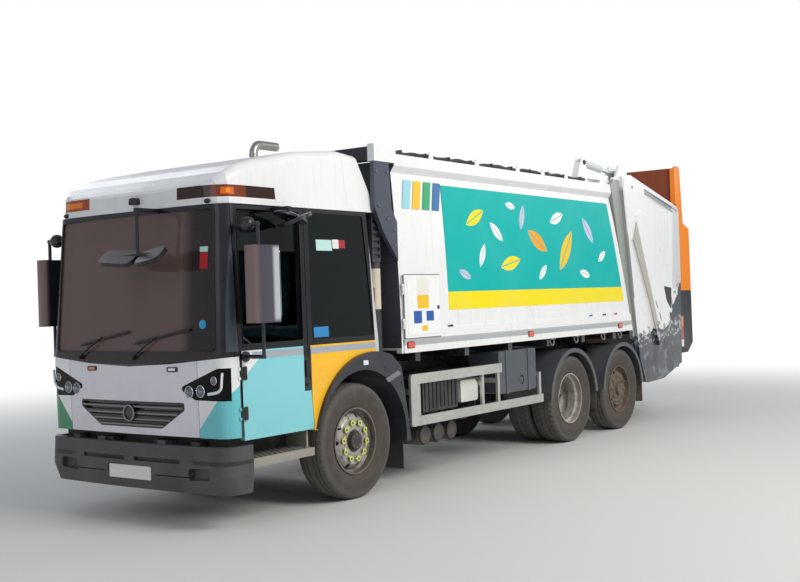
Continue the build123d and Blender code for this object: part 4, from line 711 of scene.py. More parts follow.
class TRUCK_OT_front_trim(bpy.types.Operator):
    """Fits the grille's bright lines, the bare ring, the wipers, the blank plate and labels"""

    bl_idname = "truck.front_trim"
    bl_label = "Front trim"

    def execute(self, context):
        # Chrome on plastic, dulled by the road: grey mirrors with slight waves
        chrome = new_material("grille_chrome", "#8E8983", 0.22, Metallic=1.0)
        pitted(chrome, station(chrome), 0.03, 0.0003, 0.4)
        lines = []
        for z in (0.966, 0.912, 0.862, 0.815):
            half = float(np.interp(z, [0.795, 0.95, 1.012], [0.370, 0.624, 0.628]))
            y = np.linspace(-half, half, 25)
            lines.append(strung(front_x(y, z) - 0.004, y, z, ellipse(0, 0, 0.005, 0.009, 10)))
        piece("grille_lines", lines, chrome)
        middle = on_front(0.0, 0.912, 0.0)
        ring = [
            (0.056, 0.002), (0.056, 0.016), (0.060, 0.021), (0.066, 0.021), (0.071, 0.015), (0.072, -0.010),
            (0.056, -0.010), (0.056, 0.002),
        ]
        disc = [(0, 0.010), (0.040, 0.009), (0.057, 0.005), (0.057, -0.012), (0, -0.012)]
        piece("badge_ring", [turned(ring, middle, "x", 56)], chrome)
        # Smooth dark plastic: a quiet ground inside the ring
        dark = moulded("badge_disc_plastic", "#3A3733", roughness=0.25, dust=0.1, faded=0.1)
        piece("badge_disc", [turned(disc, middle, "x", 56)], dark)

        # Black enamel and rubber: matt lines against the glass
        rubber = moulded("wiper_plastic", "#0E0F10", roughness=0.45, dust=0.1, faded=0.05)
        forms = []
        share = np.linspace(0, 1, 15)
        # Pivot, tip of the arm, and both ends of the blade, as (across, up)
        for pivot, tip, (y0, z0), (y1, z1) in (
            ((0.079, 1.375), (0.36, 1.545), (0.10, 1.490), (0.72, 1.600)),
            ((-0.629, 1.375), (-0.33, 1.545), (-0.62, 1.480), (0.02, 1.590)),
        ):
            forms.append(drum(on_front(*pivot, 0.0), 0.020, -0.02, 0.030, "x"))
            middle = ((pivot[0] + tip[0]) / 2, (pivot[1] + tip[1]) / 2)
            arm = [on_front(*pivot, 0.024), on_front(*middle, 0.030), on_front(*tip, 0.014)]
            forms.append(carried(bent(arm, 0.05), ellipse(0, 0, 0.010, 0.006, 10)))
            y, z = y0 + (y1 - y0) * share, z0 + (z1 - z0) * share
            lip = [(-0.004, -0.010), (0.006, -0.008), (0.006, 0.006), (0.0, 0.012), (-0.004, 0.004)]
            forms.append(strung(front_x(y, z) + 0.010, y, z, lip))
        piece("wipers", forms, rubber)

        # Enamelled aluminium: an even, faintly glossy white
        plain = painted("plate_white", "#E9E9E4", dust=0.15, roughness=0.35)
        sheet = plate(panel(-0.26, 0.367, 0.26, 0.479, 0.008), 1.7115, 1.7145, "x", 0.001)
        piece("front_plate", [sheet], plain)

        # Extruded rubber: a thin black line round the glass
        seal = moulded("screen_rubber", "#0B0B0C", roughness=0.5, dust=0.0, faded=0.05)
        y, z = looped(rounded([(-0.985, 1.425), (0.985, 1.425), (0.950, 2.560), (-0.950, 2.560)], 0.05, 6))
        piece("screen_seal", [strung(front_x(y, z) + 0.001, y, z, ellipse(0, 0, 0.007, 0.005, 8))], seal)

        def on_screen(y, z, out):
            return front_x(y, z) - 0.010 + out, y, z

        def on_window(x, z, out):
            return x, cab_side(z) - 0.0072 + out, z

        def on_disc(r, a, out):
            y, z = 0.845 + r * np.cos(a), 1.640 + r * np.sin(a)
            return front_x(y, z) - 0.0080 + out, y, z

        # Blank labels of plain film: name, colour, low and high corners, and the face that they lie on
        for name, tone, (u0, v0), (u1, v1), face in (
            ("screen_label_red", "#B4202C", (0.800, 2.085), (0.885, 2.215), on_screen),
            ("screen_label_pale", "#BFE3DC", (0.800, 2.219), (0.885, 2.262), on_screen),
            ("window_label_pale", "#BFE3DC", (0.258, 2.235), (0.472, 2.331), on_window),
            ("window_label_white", "#E4E4E0", (0.162, 2.255), (0.248, 2.336), on_window),
            ("window_label_red", "#A8202C", (0.073, 2.260), (0.160, 2.334), on_window),
            ("window_label_blue", "#2E86C6", (0.376, 1.482), (0.574, 1.572), on_window),
        ):
            film = painted(name + "_film", tone, roughness=0.35, dust=0.0)
            label = patch(np.linspace(u0, u1, 5), np.linspace(v0, v1, 5), face)
            piece(name, [label], film)
        label = patch(np.linspace(0, 0.036, 4), np.linspace(0, 2 * pi, 33), on_disc)
        film = painted("disc_film", "#2FA3DE", roughness=0.3, dust=0.0)
        piece("screen_label_disc", [label], film)

        # Grained black plastic that closes the gap behind the bumper
        cover = moulded("bracket_cover_plastic", "#161618", dust=0.3)
        shut = [box((1.545, -1.000, 0.600), (1.565, 1.000, 0.738))]
        for y in (-0.74, -0.30, 0.30, 0.74):
            shut.append(box((1.565, y - 0.045, 0.640), (1.668, y + 0.045, 0.700), 0.01))
        piece("bumper_brackets", shut, cover)

        # Printed band in the glass: smooth and almost black
        visor = moulded("sun_visor_band", "#1B1517", roughness=0.25, dust=0.0, faded=0.0)

        def under_top(y, z, out):
            return front_x(y, z) - 0.018 + out, y, z

        band = patch(np.linspace(-0.94, 0.94, 33), np.linspace(2.44, 2.545, 5), under_top, 0.0012)
        piece("screen_top_band", [band], visor)
        return {"FINISHED"}


class TRUCK_OT_door_trim(bpy.types.Operator):
    """Fits the doors' hinge covers, handles, seals, mirror glass and kerb mirrors"""

    bl_idname = "truck.door_trim"
    bl_label = "Door trim"

    def execute(self, context):
        # Black moulded plastic, silvered glass with faint smears, and a polished dark shell
        black = moulded("door_trim_plastic", "#131416", roughness=0.4, dust=0.15, faded=0.1)
        glass = smeared("mirror_silver", "#B8C0C8", 0.03, 0.08, 0.4, 0.8, 0.02, 0.09, Metallic=1.0)
        gloss = moulded("kerb_mirror_shell", "#262A36", roughness=0.15, dust=0.0, faded=0.0)
        forms = []
        for z in (0.870, 1.190):
            hinge = [(1.442, z - 0.006), (1.484, z + 0.004), (1.484, z + 0.100), (1.442, z + 0.108)]
            forms.append(plate(rounded(hinge, 0.010), 1.1065, 1.1265, "y", 0.006))
        lever = rounded([(0.664, 1.150), (0.716, 1.150), (0.720, 1.295), (0.668, 1.295)], 0.014)
        forms.append(plate(lever, 1.108, 1.1165, "y", 0.004))
        forms.append(drum((0.700, 0, 1.090), 0.014, 1.108, 1.1165, "y", 0.002, 20))
        x, z = looped(rounded([(1.454, 1.468), (1.448, 2.560), (0.684, 2.560), (0.729, 1.468)], 0.02))
        pane = plate(panel(1.245, 1.665, 1.378, 2.225, 0.035), 1.292, 1.296, "x", 0.002)
        for side, sign in (("left", 1), ("right", -1)):
            door = "door_" + side
            piece("door_hardware_" + side, sided(forms, sign), black, door)
            seal = strung(x, sign * (cab_side(z) + 0.0005), z, ellipse(0, 0, 0.006, 0.004, 8))
            piece("window_seal_" + side, [seal], black, door)
            piece("mirror_pane_" + side, sided([pane], sign), glass, door)
            piece("kerb_mirror_" + side, sided([kerb_shell()], sign), gloss, door, angle=60)
        return {"FINISHED"}


def kerb_shell():
    """A flat oval shell: an ellipsoid, taller in its upper half, and sheared to slope to the rear."""
    u = np.linspace(-pi / 2, pi / 2, 15)[:, None]
    v = np.linspace(-pi, pi, 40, endpoint=False)[None, :]
    x = 0.185 * np.cos(u) * np.cos(v)
    y = 0.095 * np.cos(u) * np.sin(v)
    z = np.where(u > 0, 0.046, 0.018) * np.sin(u) + 0 * v + 0.24 * x
    points = np.stack([x + 0.955, y + 1.205, z + 2.486], axis=-1)
    return points.reshape(-1, 3), quads(15, 40, close_columns=True)


class TRUCK_OT_body(bpy.types.Operator):
    """Paints the refuse body, its locker door and its header frame"""

    bl_idname = "truck.body"
    bl_label = "Body finish"

    def execute(self, context):
        # Sprayed paint on sheet steel: white with a grey stripe and rain streaks, grey inside, and dark below
        # the sill as painted shade under the body
        shell = painted("body_paint", pale_white, [
            ("#8E8C86", [*within(1.030), below(3.10), above(1.30), behind(-0.70)]),
            ("#4A4E56", [ahead(-0.6715), above(1.32), below(3.13)]),
            ("#B4B7B8", [above(1.345), below(1.400), behind(-0.69)]),
            # Painted shade under the body, below the sill
            ("#2C2D30", [below(1.268)]),
            ("#2C2D30", [below(1.300), *within(1.05)]),
        ], roughness=0.26, dust_top=1.5, dust=0.3, streaks=0.22)
        dress(shell, "body_shell")
        dress(painted("locker_paint", pale_white, roughness=0.3, streaks=0.12), "locker_door")
        edges = [(pale_white, [above(3.079)]), ("#2A2C31", within(1.033))]
        dress(painted("header_paint", "#474B59", edges, roughness=0.35), "header_frame")
        return {"FINISHED"}


def leaf_share(material, here, middle, turn, size):
    """How far a point lies from a leaf's middle along a line at the turn, counted in sizes."""
    way = (cos(turn) / size, 0, sin(turn) / size)
    share = add(material, "VectorMath", here, way, operation="DOT_PRODUCT")
    return add(material, "Math", share, way[0] * middle[0] + way[2] * middle[1], operation="SUBTRACT")


class TRUCK_OT_banner(bpy.types.Operator):
    """Lays the panel on the body's sides, with plain leaf shapes over its ground and a band at its foot"""

    bl_idname = "truck.banner"
    bl_label = "Side banner"

    def execute(self, context):
        # Printed vinyl: even, bright colours under a dull sheen, a little faded in patches
        sheet = new_material("printed_vinyl", "#00B1AC", 0.42, Specular_IOR_Level=0.12)
        ground = tuple(finish().banner_colour)
        here = add(sheet, "VectorMath", station(sheet), operation="ABSOLUTE")
        colour = layered(sheet, ground, (region(sheet, here, [below(1.845)], 0.001), "#F7E017"))
        # Each leaf: station back from the axle, height, half length, half width, turn in degrees, colour
        leaves = [
            (2.10, 2.62, 0.20, 0.070, 24, "#F7E017"), (2.52, 2.48, 0.16, 0.055, -38, "#F4F6F4"),
            (2.20, 2.22, 0.14, 0.050, 64, "#F4F6F4"), (2.78, 2.14, 0.22, 0.075, 12, "#F7E017"),
            (3.10, 2.66, 0.15, 0.052, 70, "#C9C6E0"), (3.42, 2.40, 0.24, 0.085, -28, "#F2A516"),
            (3.50, 2.04, 0.13, 0.045, 40, "#F4F6F4"), (3.92, 2.68, 0.18, 0.062, 18, "#F4F6F4"),
            (4.10, 2.30, 0.30, 0.100, 52, "#F7C81A"), (4.56, 2.02, 0.14, 0.048, -12, "#F4F6F4"),
            (4.72, 2.56, 0.20, 0.068, -50, "#C9C6E0"), (5.06, 2.24, 0.13, 0.046, 30, "#F4F6F4"),
            (1.84, 2.02, 0.12, 0.042, -20, "#C9C6E0"), (2.86, 2.78, 0.11, 0.038, -8, "#F4F6F4"),
        ]
        for back, height, half, width, degrees, tone in leaves:
            turn = radians(degrees)
            u = leaf_share(sheet, here, (back, height), turn, half)
            v = leaf_share(sheet, here, (back, height), turn + pi / 2, width)
            # Inside a leaf, the square of u and the size of v come to less than one.
            out = add(sheet, "Math", v, operation="ABSOLUTE")
            bulge = add(sheet, "Math", u, u, out, operation="MULTIPLY_ADD")
            inside = add(sheet, "MapRange", bulge, 1.01, 0.99)
            middle = add(sheet, "MapRange", out, 0.10, 0.06)
            vein = add(sheet, "Math", add(sheet, "MapRange", bulge, 0.86, 0.84), middle, operation="MULTIPLY")
            colour = layered(sheet, colour, (inside, tone), (vein, ground))
        fade = blotches(sheet, here, 0.5, 0.4, 0.8, 0.0, 0.10)
        colour = layered(sheet, colour, (fade, "#7FC9C2"))
        feed(sheet, Base_Color=dusted(sheet, here, colour, 1.9, 0.12))
        pitted(sheet, here, 0.004, 0.0001, 0.4, detail=2.0)

        film_lift = 0.0016
        # Plain slanted bars ahead of the banner, in the colours of the truck's stripes
        for index, (tone, back) in enumerate(
            (("#9AD3DF", 0.80), ("#FFC11E", 0.97), ("#1FA56A", 1.14), ("#1B69A8", 1.31))
        ):
            def slant(s, t, out):
                z = 2.660 + 0.28 * t
                return -back - 0.125 * s - 0.06 * t, body_side(z) + film_lift + out, z

            ink = painted("bar_vinyl_" + str(index), tone, roughness=0.35, dust=0.1)
            bar = patch(np.linspace(0, 1, 9), np.linspace(0, 1, 12), slant)
            piece("side_bar_" + str(index), mirrored([bar]), ink, angle=60)

        front, rear, foot, top = -1.50, -5.33, 1.660, 2.925

        def lie(x, z, out):
            share = (x - front) / (rear - front)
            return x + share * ((z - foot) * 0.245 - 0.30), body_side(z) + film_lift + out, z

        banner = patch(np.linspace(rear, front, 40), np.linspace(foot, top, 36), lie)
        for side, sign in (("left", 1), ("right", -1)):
            piece("side_banner_" + side, sided([banner], sign), sheet, angle=60)
        return {"FINISHED"}


class TRUCK_OT_tail(bpy.types.Operator):
    """Paints the tailgate, the packer, the bin lift and the rams"""

    bl_idname = "truck.tail"
    bl_label = "Tail finish"

    def execute(self, context):
        # Paint in hard use: white, with a pale grey plate, a dark worn foot and slope, and brown walls
        # inside. Grey bands beside the body and under the roof's edge, and a beige band by the diagonal beam,
        # are painted shade.
        foot, slope = (-0.1237, 0, -0.9923), (-0.7135, 0, -0.7006)
        strip = [(0.1936, 0, -0.9811, -4.3412), (-0.2145, 0, 0.9767, 4.3877), behind(-6.36), ahead(-7.33)]
        inner = [*within(1.0365), below(3.20), (0.1818, 0, -1, -4.3113), (-0.9872, 0, 0.1593, 6.02)]
        tailgate = painted("tailgate_paint", pale_white, [
            # Painted shade: grey in the recessed strip beside the body
            ("#9A9E9A", [(0.9872, 0, -0.1593, -6.1160), below(3.25)]),
            # Painted shade: grey on the bevel under the roof's edge
            ("#9AA0A3", strip),
            ("#D3D5D6", [(-0.9963, 0, -0.0856, 7.0537), above(1.80)]),
            # Painted shade: a beige-grey band along the diagonal beam, on both sides
            ("#B7B2A8", [(0.914, 0, -0.405, -6.569), left_of(1.15)]),
            ("#B7B2A8", [(0.914, 0, -0.405, -6.569), right_of(-1.15)]),
            ("#A59D90", [(*foot, -0.5053)], 0.05, 0.10),
            ("#A59D90", [(*slope, 3.9866)], 0.05, 0.10),
            ("#333C46", [(*foot, -0.4253)], 0.07),
            ("#333C46", [(*slope, 4.0666)], 0.07),
            ("#66717C", [(*foot, -0.3400)], 0.05, 0.17),
            ("#1E242B", [(*foot, -0.3900)], 0.05, 0.26),
            ("#B4B8B8", [(*foot, -0.4653), (0.1237, 0, 0.9923, 0.2653)], 0.04, 0.075),
            ("#5B5652", inner),
        ], roughness=0.32, dust_top=1.6, dust=0.3, streaks=0.2)
        dress(tailgate, "tailgate_shell")
        # Orange paint: the inner faces are brown-red as painted shade on the shield's front, and the foot is
        # dark grey
        lift_shade_and_foot = [("#8C4A33", within(1.004)), ("#34363A", [below(1.77)])]
        orange = painted(
            "lift_paint", lift_orange, lift_shade_and_foot, roughness=0.4, dust_top=2.0, dust=0.3, streaks=0.2, coat=0.1
        )
        dress(orange, "lift_frame")
        # Plate steel: dark paint worn to rust on the lift, and bare metal scoured by refuse on the packer
        dress(steel("lift_gear_steel", "#2A2C30", wear=0.45), "bin_lift")
        scoured = steel("packer_steel", "#5F5B55", wear=0.55, roughness=0.42, metallic=0.4)
        dress(scoured, "packer_carriage", "packer_blade")
        dress(painted("ram_barrel_paint", "#C9CCCE", roughness=0.3, dust=0.1, streaks=0.2), "ram_barrels")
        # Hard chrome on ground steel: a clean mirror with thin smears of oil
        rod = smeared("ram_rod_chrome", "#D5D8DA", 0.12, 0.02, 0.4, 0.8, 0.08, 0.22, Metallic=1.0)
        dress(rod, "ram_rods")
        return {"FINISHED"}


class TRUCK_OT_chassis(bpy.types.Operator):
    """Finishes the chassis, axles, boxes, tanks, guards and mudguards"""

    bl_idname = "truck.chassis"
    bl_label = "Chassis finish"

    def execute(self, context):
        # Painted rails and rough castings: dark, rusty in spots and dusty
        dress(steel("chassis_paint", "#26272B", wear=0.3), "chassis_frame")
        knuckles = ["knuckle_" + end + "_" + side for end in ("front", "third") for side in ("left", "right")]
        dress(steel("axle_casting", "#2B2A2A", wear=0.5, roughness=0.65), "axles", *knuckles)
        dress(steel("engine_casting", "#4A4A4C", wear=0.3, roughness=0.6, metallic=0.3), "engine_block")
        # Moulded boxes: black plastic, grey at the rear, and pale on the outside of one box
        areas = [("#4C525A", [behind(-2.45)])]
        for outside in (left_of(0.75), right_of(-0.75)):
            areas.append(("#D8D8D2", [behind(-1.73), ahead(-2.12), outside]))
        dress(moulded("box_plastic", "#1D1E21", areas, roughness=0.45, dust=0.45), "side_boxes")
        dress(steel("air_tank_paint", "#202226", wear=0.2, roughness=0.45), "air_tanks")
        # Extruded aluminium: silvery, with brushed lines that run along it
        guard = new_material("guard_aluminium", "#C9C9C4", 0.42, Metallic=0.55)
        here = station(guard)
        brushed = add(guard, "VectorMath", here, (0.05, 1.0, 1.0), operation="MULTIPLY")
        pitted(guard, brushed, 0.004, 0.0003, 0.4, detail=2.0)
        scuffs = blotches(guard, here, 0.12, 0.5, 0.8, 0.0, 0.3)
        tone = layered(guard, "#C9C9C4", (scuffs, "#8F8E88"))
        feed(guard, Base_Color=dusted(guard, here, tone, 1.3, 0.3))
        dress(guard, "side_guards")
        # Moulded plastics: smooth and dusty over the wheels, and a tower with a pale cap and a red mark
        cover = moulded("mudguard_plastic", "#474B51", roughness=0.42, dust=0.6, dust_top=1.3, faded=0.35)
        dress(cover, "rear_mudguards")
        bands = [
            ("#D8CDBB", [below(2.08), above(1.70)]),
            ("#9C3A2C", [below(1.90), above(1.70), ahead(-0.40)]),
        ]
        dress(moulded("intake_plastic", "#2E3138", bands, roughness=0.5), "intake_tower")
        # Aluminised steel: bright, browned in patches by heat
        stack = steel(
            "exhaust_steel", "#A9A6A0", worn="#7A5A3E", wear=0.3, roughness=0.32, metallic=1.0, dust=0.2
        )
        dress(stack, "exhaust_stack")
        return {"FINISHED"}


def tyre_rubber(axle):
    """Worn rubber: matt grey-brown, brown at the bead, grey at the shoulder, with dust and scuffs."""
    rubber = new_material("tyre_rubber_compound", "#403C39", 0.82)
    here = station(rubber)
    radius = hub_distance(rubber, here, axle)
    dust = blotches(rubber, here, 0.09, 0.35, 0.75, 0.0, 0.6, detail=5.0)
    scuff = blotches(rubber, here, 0.025, 0.6, 0.8, 0.0, 0.5)
    bead = add(rubber, "MapRange", radius, 0.395, 0.335, 0.0, 0.75)
    shoulder = add(rubber, "MapRange", radius, 0.440, 0.485, 0.0, 0.45)
    # Moulded rings round the side wall, drawn at 9 mm so that they show
    rings = add(rubber, "Math", add(rubber, "Math", radius, 700.0, operation="MULTIPLY"), operation="SINE")
    faint = add(rubber, "MapRange", rings, 0.2, 1.0, 0.0, 0.22)
    tones = [
        (dust, "#5A554E"), (bead, "#4E423B"), (shoulder, "#6C6963"), (faint, "#7A766F"), (scuff, "#736C62"),
    ]
    feed(rubber, Base_Color=layered(rubber, "#403C39", *tones))
    pitted(rubber, here, 0.003, 0.0006, 0.7, detail=3.0)
    return rubber


class TRUCK_OT_tyres(bpy.types.Operator):
    """Moulds the tyres with their grooves, tread blocks and side ribs"""

    bl_idname = "truck.tyres"
    bl_label = "Tyres"

    def execute(self, context):
        rubbers = {axle: tyre_rubber(axle) for axle in (0.0, drive_x, third_x)}
        depth = finish().tread_depth
        for side, x, body, node, kind in wheels:
            middles = [wheel_middle, wheel_middle - twin_spacing] if kind == "driven" else [wheel_middle]
            forms = [tyre_form(x, side * middle, depth, kind) for middle in middles]
            tread = node.replace("tyre", "tread")
            made = piece(tread, forms, rubbers[x], body, 40, closed=False)
            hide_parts(node)
        return {"FINISHED"}


def tyre_form(x, y, depth, kind):
    """A tyre on an axis along Y. Its section is a side wall that bulges as a half sine between bead and
    shoulder, and a crown that falls off by the fourth power of its place across. Ribs run round it, and a
    driven tyre's crown is cut into blocks by slanted slots: the radius drops there by the groove's depth."""
    outer, bead, wall_points = axle_z, 0.3045, 12
    half = tyre_width / 2 - 0.0005
    crown_half = 0.124
    edge = crown_half + 0.010
    grooves = [0.0335, 0.0405, 0.0795, 0.0865]
    rib = np.array([0.0, 0.030, 0.0335, 0.0405, 0.044, 0.076, 0.0795, 0.0865, 0.090, 0.112, crown_half])
    across = np.concatenate([-rib[::-1], rib[1:]])
    crown_radius = outer - 0.012 * (across / crown_half) ** 4
    wall = np.linspace(0.06, 1.0, wall_points)
    wall_radius = outer - 0.016 - (outer - 0.016 - bead) * wall
    wall_across = edge + (half - edge) * np.sin(pi * wall ** 0.8) - 0.022 * wall ** 3
    wall_across += 0.0012 * ((np.arange(wall_points) % 4) == 2)
    radius = np.concatenate([wall_radius[::-1], crown_radius, wall_radius])
    station_y = np.concatenate([-wall_across[::-1], across, wall_across])
    none = np.zeros(wall_points)
    sunk = np.concatenate([none, np.isin(np.round(np.abs(across), 5), grooves), none])
    on_crown = np.concatenate([none, np.ones(len(across)), none])
    turns = 300
    angle = np.linspace(0, 2 * pi, turns, endpoint=False)[:, None]
    out = np.abs(station_y)
    if kind == "driven":
        blocks, slant, share, start, deep = 50, 9.0, 0.22, 0.02, 1.0
    else:
        blocks, slant, share, start, deep = 60, 4.0, 0.16, 0.098, 0.6
    phase = angle * blocks / (2 * pi) + out * slant
    cut = ((phase % 1.0) < share) * on_crown * (out > start) * deep
    r = radius[None, :] - depth * np.maximum(sunk[None, :], cut)
    points = laid("y", station_y[None, :] + 0 * angle, r * np.cos(angle), r * np.sin(angle))
    return points + (x, y, axle_z), quads(turns, len(radius), close_rows=True)


def worn_rim(axle):
    """Silver paint on steel: bright where it is clean, with grime, rust and a dark hub."""
    silver = new_material("rim_paint_worn", "#B9B4AC", 0.45, Metallic=0.25)
    here = station(silver)
    radius = hub_distance(silver, here, axle)
    grime = blotches(silver, here, 0.07, 0.42, 0.7, 0.0, 0.65, detail=5.0)
    rust = blotches(silver, here, 0.02, 0.6, 0.75, 0.0, 0.6)
    coats = [(grime, "#6E655A"), (rust, "#5E3F2C")]
    if axle:
        # The dish of a driven wheel holds brake dust and is bright only at its rim.
        hub = add(silver, "MapRange", radius, 0.236, 0.222, 0.0, 0.92)
    else:
        # A steered wheel's hub is dark, and brown dust sits in the well behind its rim.
        hub = add(silver, "MapRange", radius, 0.104, 0.098, 0.0, 0.9)
        coats.append((add(silver, "MapRange", radius, 0.240, 0.248, 0.0, 0.7), "#4C3F39"))
    coats.append((hub, "#2E2825"))
    dull = add(silver, "MapRange", grime, 0.0, 0.75, 0.35, 0.8)
    feed(silver, Base_Color=layered(silver, "#B9B4AC", *coats), Roughness=dull)
    pitted(silver, here, 0.006, 0.0008, 0.5)
    return silver


class TRUCK_OT_wheel_trim(bpy.types.Operator):
    """Finishes the rims and adds nuts, their pointers, valve stems and hub bolts"""

    bl_idname = "truck.wheel_trim"
    bl_label = "Wheels"

    def execute(self, context):
        dress(worn_rim(0.0), "rim_front_left", "rim_front_right")
        dress(worn_rim(drive_x), "rims_drive_left", "rims_drive_right")
        # Rims of the third axle: dull brown with almost black patches
        dark_rim = steel(
            "rim_third_dark", "#6B5A4C", worn="#33261F", wear=0.85, roughness=0.8, dust=0.5, dust_top=1.2
        )
        dress(dark_rim, "rim_third_left", "rim_third_right")
        # Plated steel nuts, bright yellow-green plastic pointers and matt black caps
        nut_steel = steel("nut_steel", "#8E8A84", wear=0.4, roughness=0.4, metallic=0.8, dust=0.2)
        lime = moulded("nut_pointer_plastic", "#E2E86A", roughness=0.45, dust=0.3, faded=0.1, fade="#B8B860")
        black = moulded("hub_cap_plastic", "#232326", roughness=0.5)
        nut_circle, bolt_circle = 0.1675, 0.058
        for side, x, body, node, kind in wheels:
            # Stations of the disc that the nuts sit on, and of the hub's cap
            face, cap_face = (0.778, 0.869) if kind == "driven" else (1.027, 1.065)
            nuts, pointers, caps = [], [], []
            for angle in np.arange(10) * 2 * pi / 10 + 0.1:
                u, v = x + nut_circle * cos(angle), axle_z + nut_circle * sin(angle)
                turns = [k * pi / 3 + angle for k in range(6)]
                hexagon = [(u + 0.0185 * cos(turn), v + 0.0185 * sin(turn)) for turn in turns]
                nuts.append(plate(hexagon, face - 0.002, face + 0.020, "y", 0.003))
                nuts.append(drum((u, 0, v), 0.0235, face - 0.002, face + 0.005, "y", 0.002, 20))
                nuts.append(drum((u, 0, v), 0.0105, face + 0.018, face + 0.034, "y", 0.003, 12))
                # Each pointer is a ring round its nut with a tip that shows the way to the next.
                way_u, way_v = cos(angle + pi / 2 + 0.3), sin(angle + pi / 2 + 0.3)
                tip = (u + 0.056 * way_u, v + 0.056 * way_v)
                one = (u - 0.019 * way_v, v + 0.019 * way_u)
                two = (u + 0.019 * way_v, v - 0.019 * way_u)
                outline = rounded([tip, one, two], 0.006, 4)
                pointers.append(plate(outline, face + 0.0205, face + 0.0250, "y", 0.0015))
                ring = [(0.0135, 0.0205), (0.0135, 0.0280), (0.0250, 0.0270), (0.0265, 0.0205)]
                loop = [(r, face + level) for r, level in ring + ring[:1]]
                pointers.append(turned(loop, (u, 0, v), "y", 20))
            for angle in np.arange(8) * pi / 4:
                at = (x + bolt_circle * cos(angle), 0, axle_z + bolt_circle * sin(angle))
                caps.append(drum(at, 0.008, cap_face - 0.003, cap_face + 0.004, "y", 0.002, 10))
            valve = [
                (x + 0.235, face - 0.035, axle_z + 0.02), (x + 0.238, face - 0.005, axle_z + 0.02),
                (x + 0.215, face + 0.012, axle_z + 0.018),
            ]
            nuts.append(pipe(valve, 0.005, 0.01, 8))
            name = body.replace("wheels", "wheel")
            piece("nuts_" + name, sided(nuts, side), nut_steel, body)
            if kind == "steered" and side > 0 or kind == "driven":
                piece("pointers_" + name, sided(pointers, side), lime, body)
            cap_finish = black if kind == "driven" else nut_steel
            piece("hub_bolts_" + name, sided(caps, side), cap_finish, body)
        return {"FINISHED"}


class TRUCK_OT_seats(bpy.types.Operator):
    """Sews the seats' cushions and backs in their cloth"""

    bl_idname = "truck.seats"
    bl_label = "Seats"

    def execute(self, context):
        # Woven polyester: soft teal with crossing threads, drawn at 3 mm so that they show
        cloth = new_material("seat_weave", "#2B6F78", 0.9, Sheen_Weight=0.4)
        here = station(cloth)
        warp, weft = (
            add(cloth, "TexWave", output="Fac", Vector=here, Scale=105.0, bands_direction=way) for way in "YX"
        )
        weave = add(cloth, "Math", warp, weft, operation="MULTIPLY")
        sat_on = blotches(cloth, here, 0.2, 0.5, 0.8, 0.0, 0.4)
        feed(
            cloth,
            Base_Color=layered(cloth, "#1F5F69", (weave, "#3E8D93"), (sat_on, "#2A4E55")),
            Normal=add(cloth, "Bump", Height=weave, Distance=0.0008, Strength=0.6),
        )
        pads, bases, piped = [], [], []
        for y in (0.620, -0.030, -0.560):
            pads.append(cushion((0.145, y, 1.520), (0.255, 0.238, 0.060), 0.0))
            pads.append(cushion((-0.100, y, 1.925), (0.058, 0.232, 0.350), -0.13))
            bases.append(box((-0.06, y - 0.185, 1.232), (0.33, y + 0.185, 1.462), 0.02))
            u, v = looped(panel(-0.10, y - 0.225, 0.385, y + 0.225, 0.06, 6))
            piped.append(strung(u, v, 1.548, ellipse(0, 0, 0.006, 0.006, 8)))
        seat_pads = piece("seat_pads", pads, cloth, angle=50)
        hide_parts("seats")
        # Grained plastic under the pads, and a red piping cord of matt cloth
        piece("seat_bases", bases, moulded("seat_base_plastic", "#26282C"))
        edging = moulded("seat_piping", "#A8322B", roughness=0.7, dust=0.0, faded=0.1)
        piece("seat_piping", piped, edging, angle=50)
        return {"FINISHED"}


def bowed(value):
    """A sine or cosine pushed outwards, for a pad with full corners."""
    return np.sign(value) * np.abs(value) ** (2 / 4.5)


def cushion(middle, half, lean):
    """A crowned pad: a superellipsoid of power 4.5, with its sides drawn in between its corners by a cosine,
    and two sewn channels across its face, sheared along X by the lean."""
    u = np.linspace(-pi / 2, pi / 2, 25)[:, None]
    v = np.linspace(-pi, pi, 64, endpoint=False)[None, :]
    x = bowed(np.cos(u)) * bowed(np.cos(v))
    y = bowed(np.cos(u)) * bowed(np.sin(v))
    z = bowed(np.sin(u)) + 0 * v
    pull = 1 - 0.05 * np.cos(x * pi / 2) * np.cos(y * pi / 2) * np.cos(z * pi / 2)
    channel = 1 - 0.10 * np.exp(-((np.abs(y) - 0.42) / 0.05) ** 2)
    if half[0] < half[2]:
        x = x * channel
    else:
        z = z * channel
    points = np.stack([x * half[0] * pull, y * half[1] * pull, z * half[2] * pull], axis=-1)
    points[..., 0] += lean * points[..., 2]
    return (points + np.asarray(middle)).reshape(-1, 3), quads(25, 64, close_columns=True)


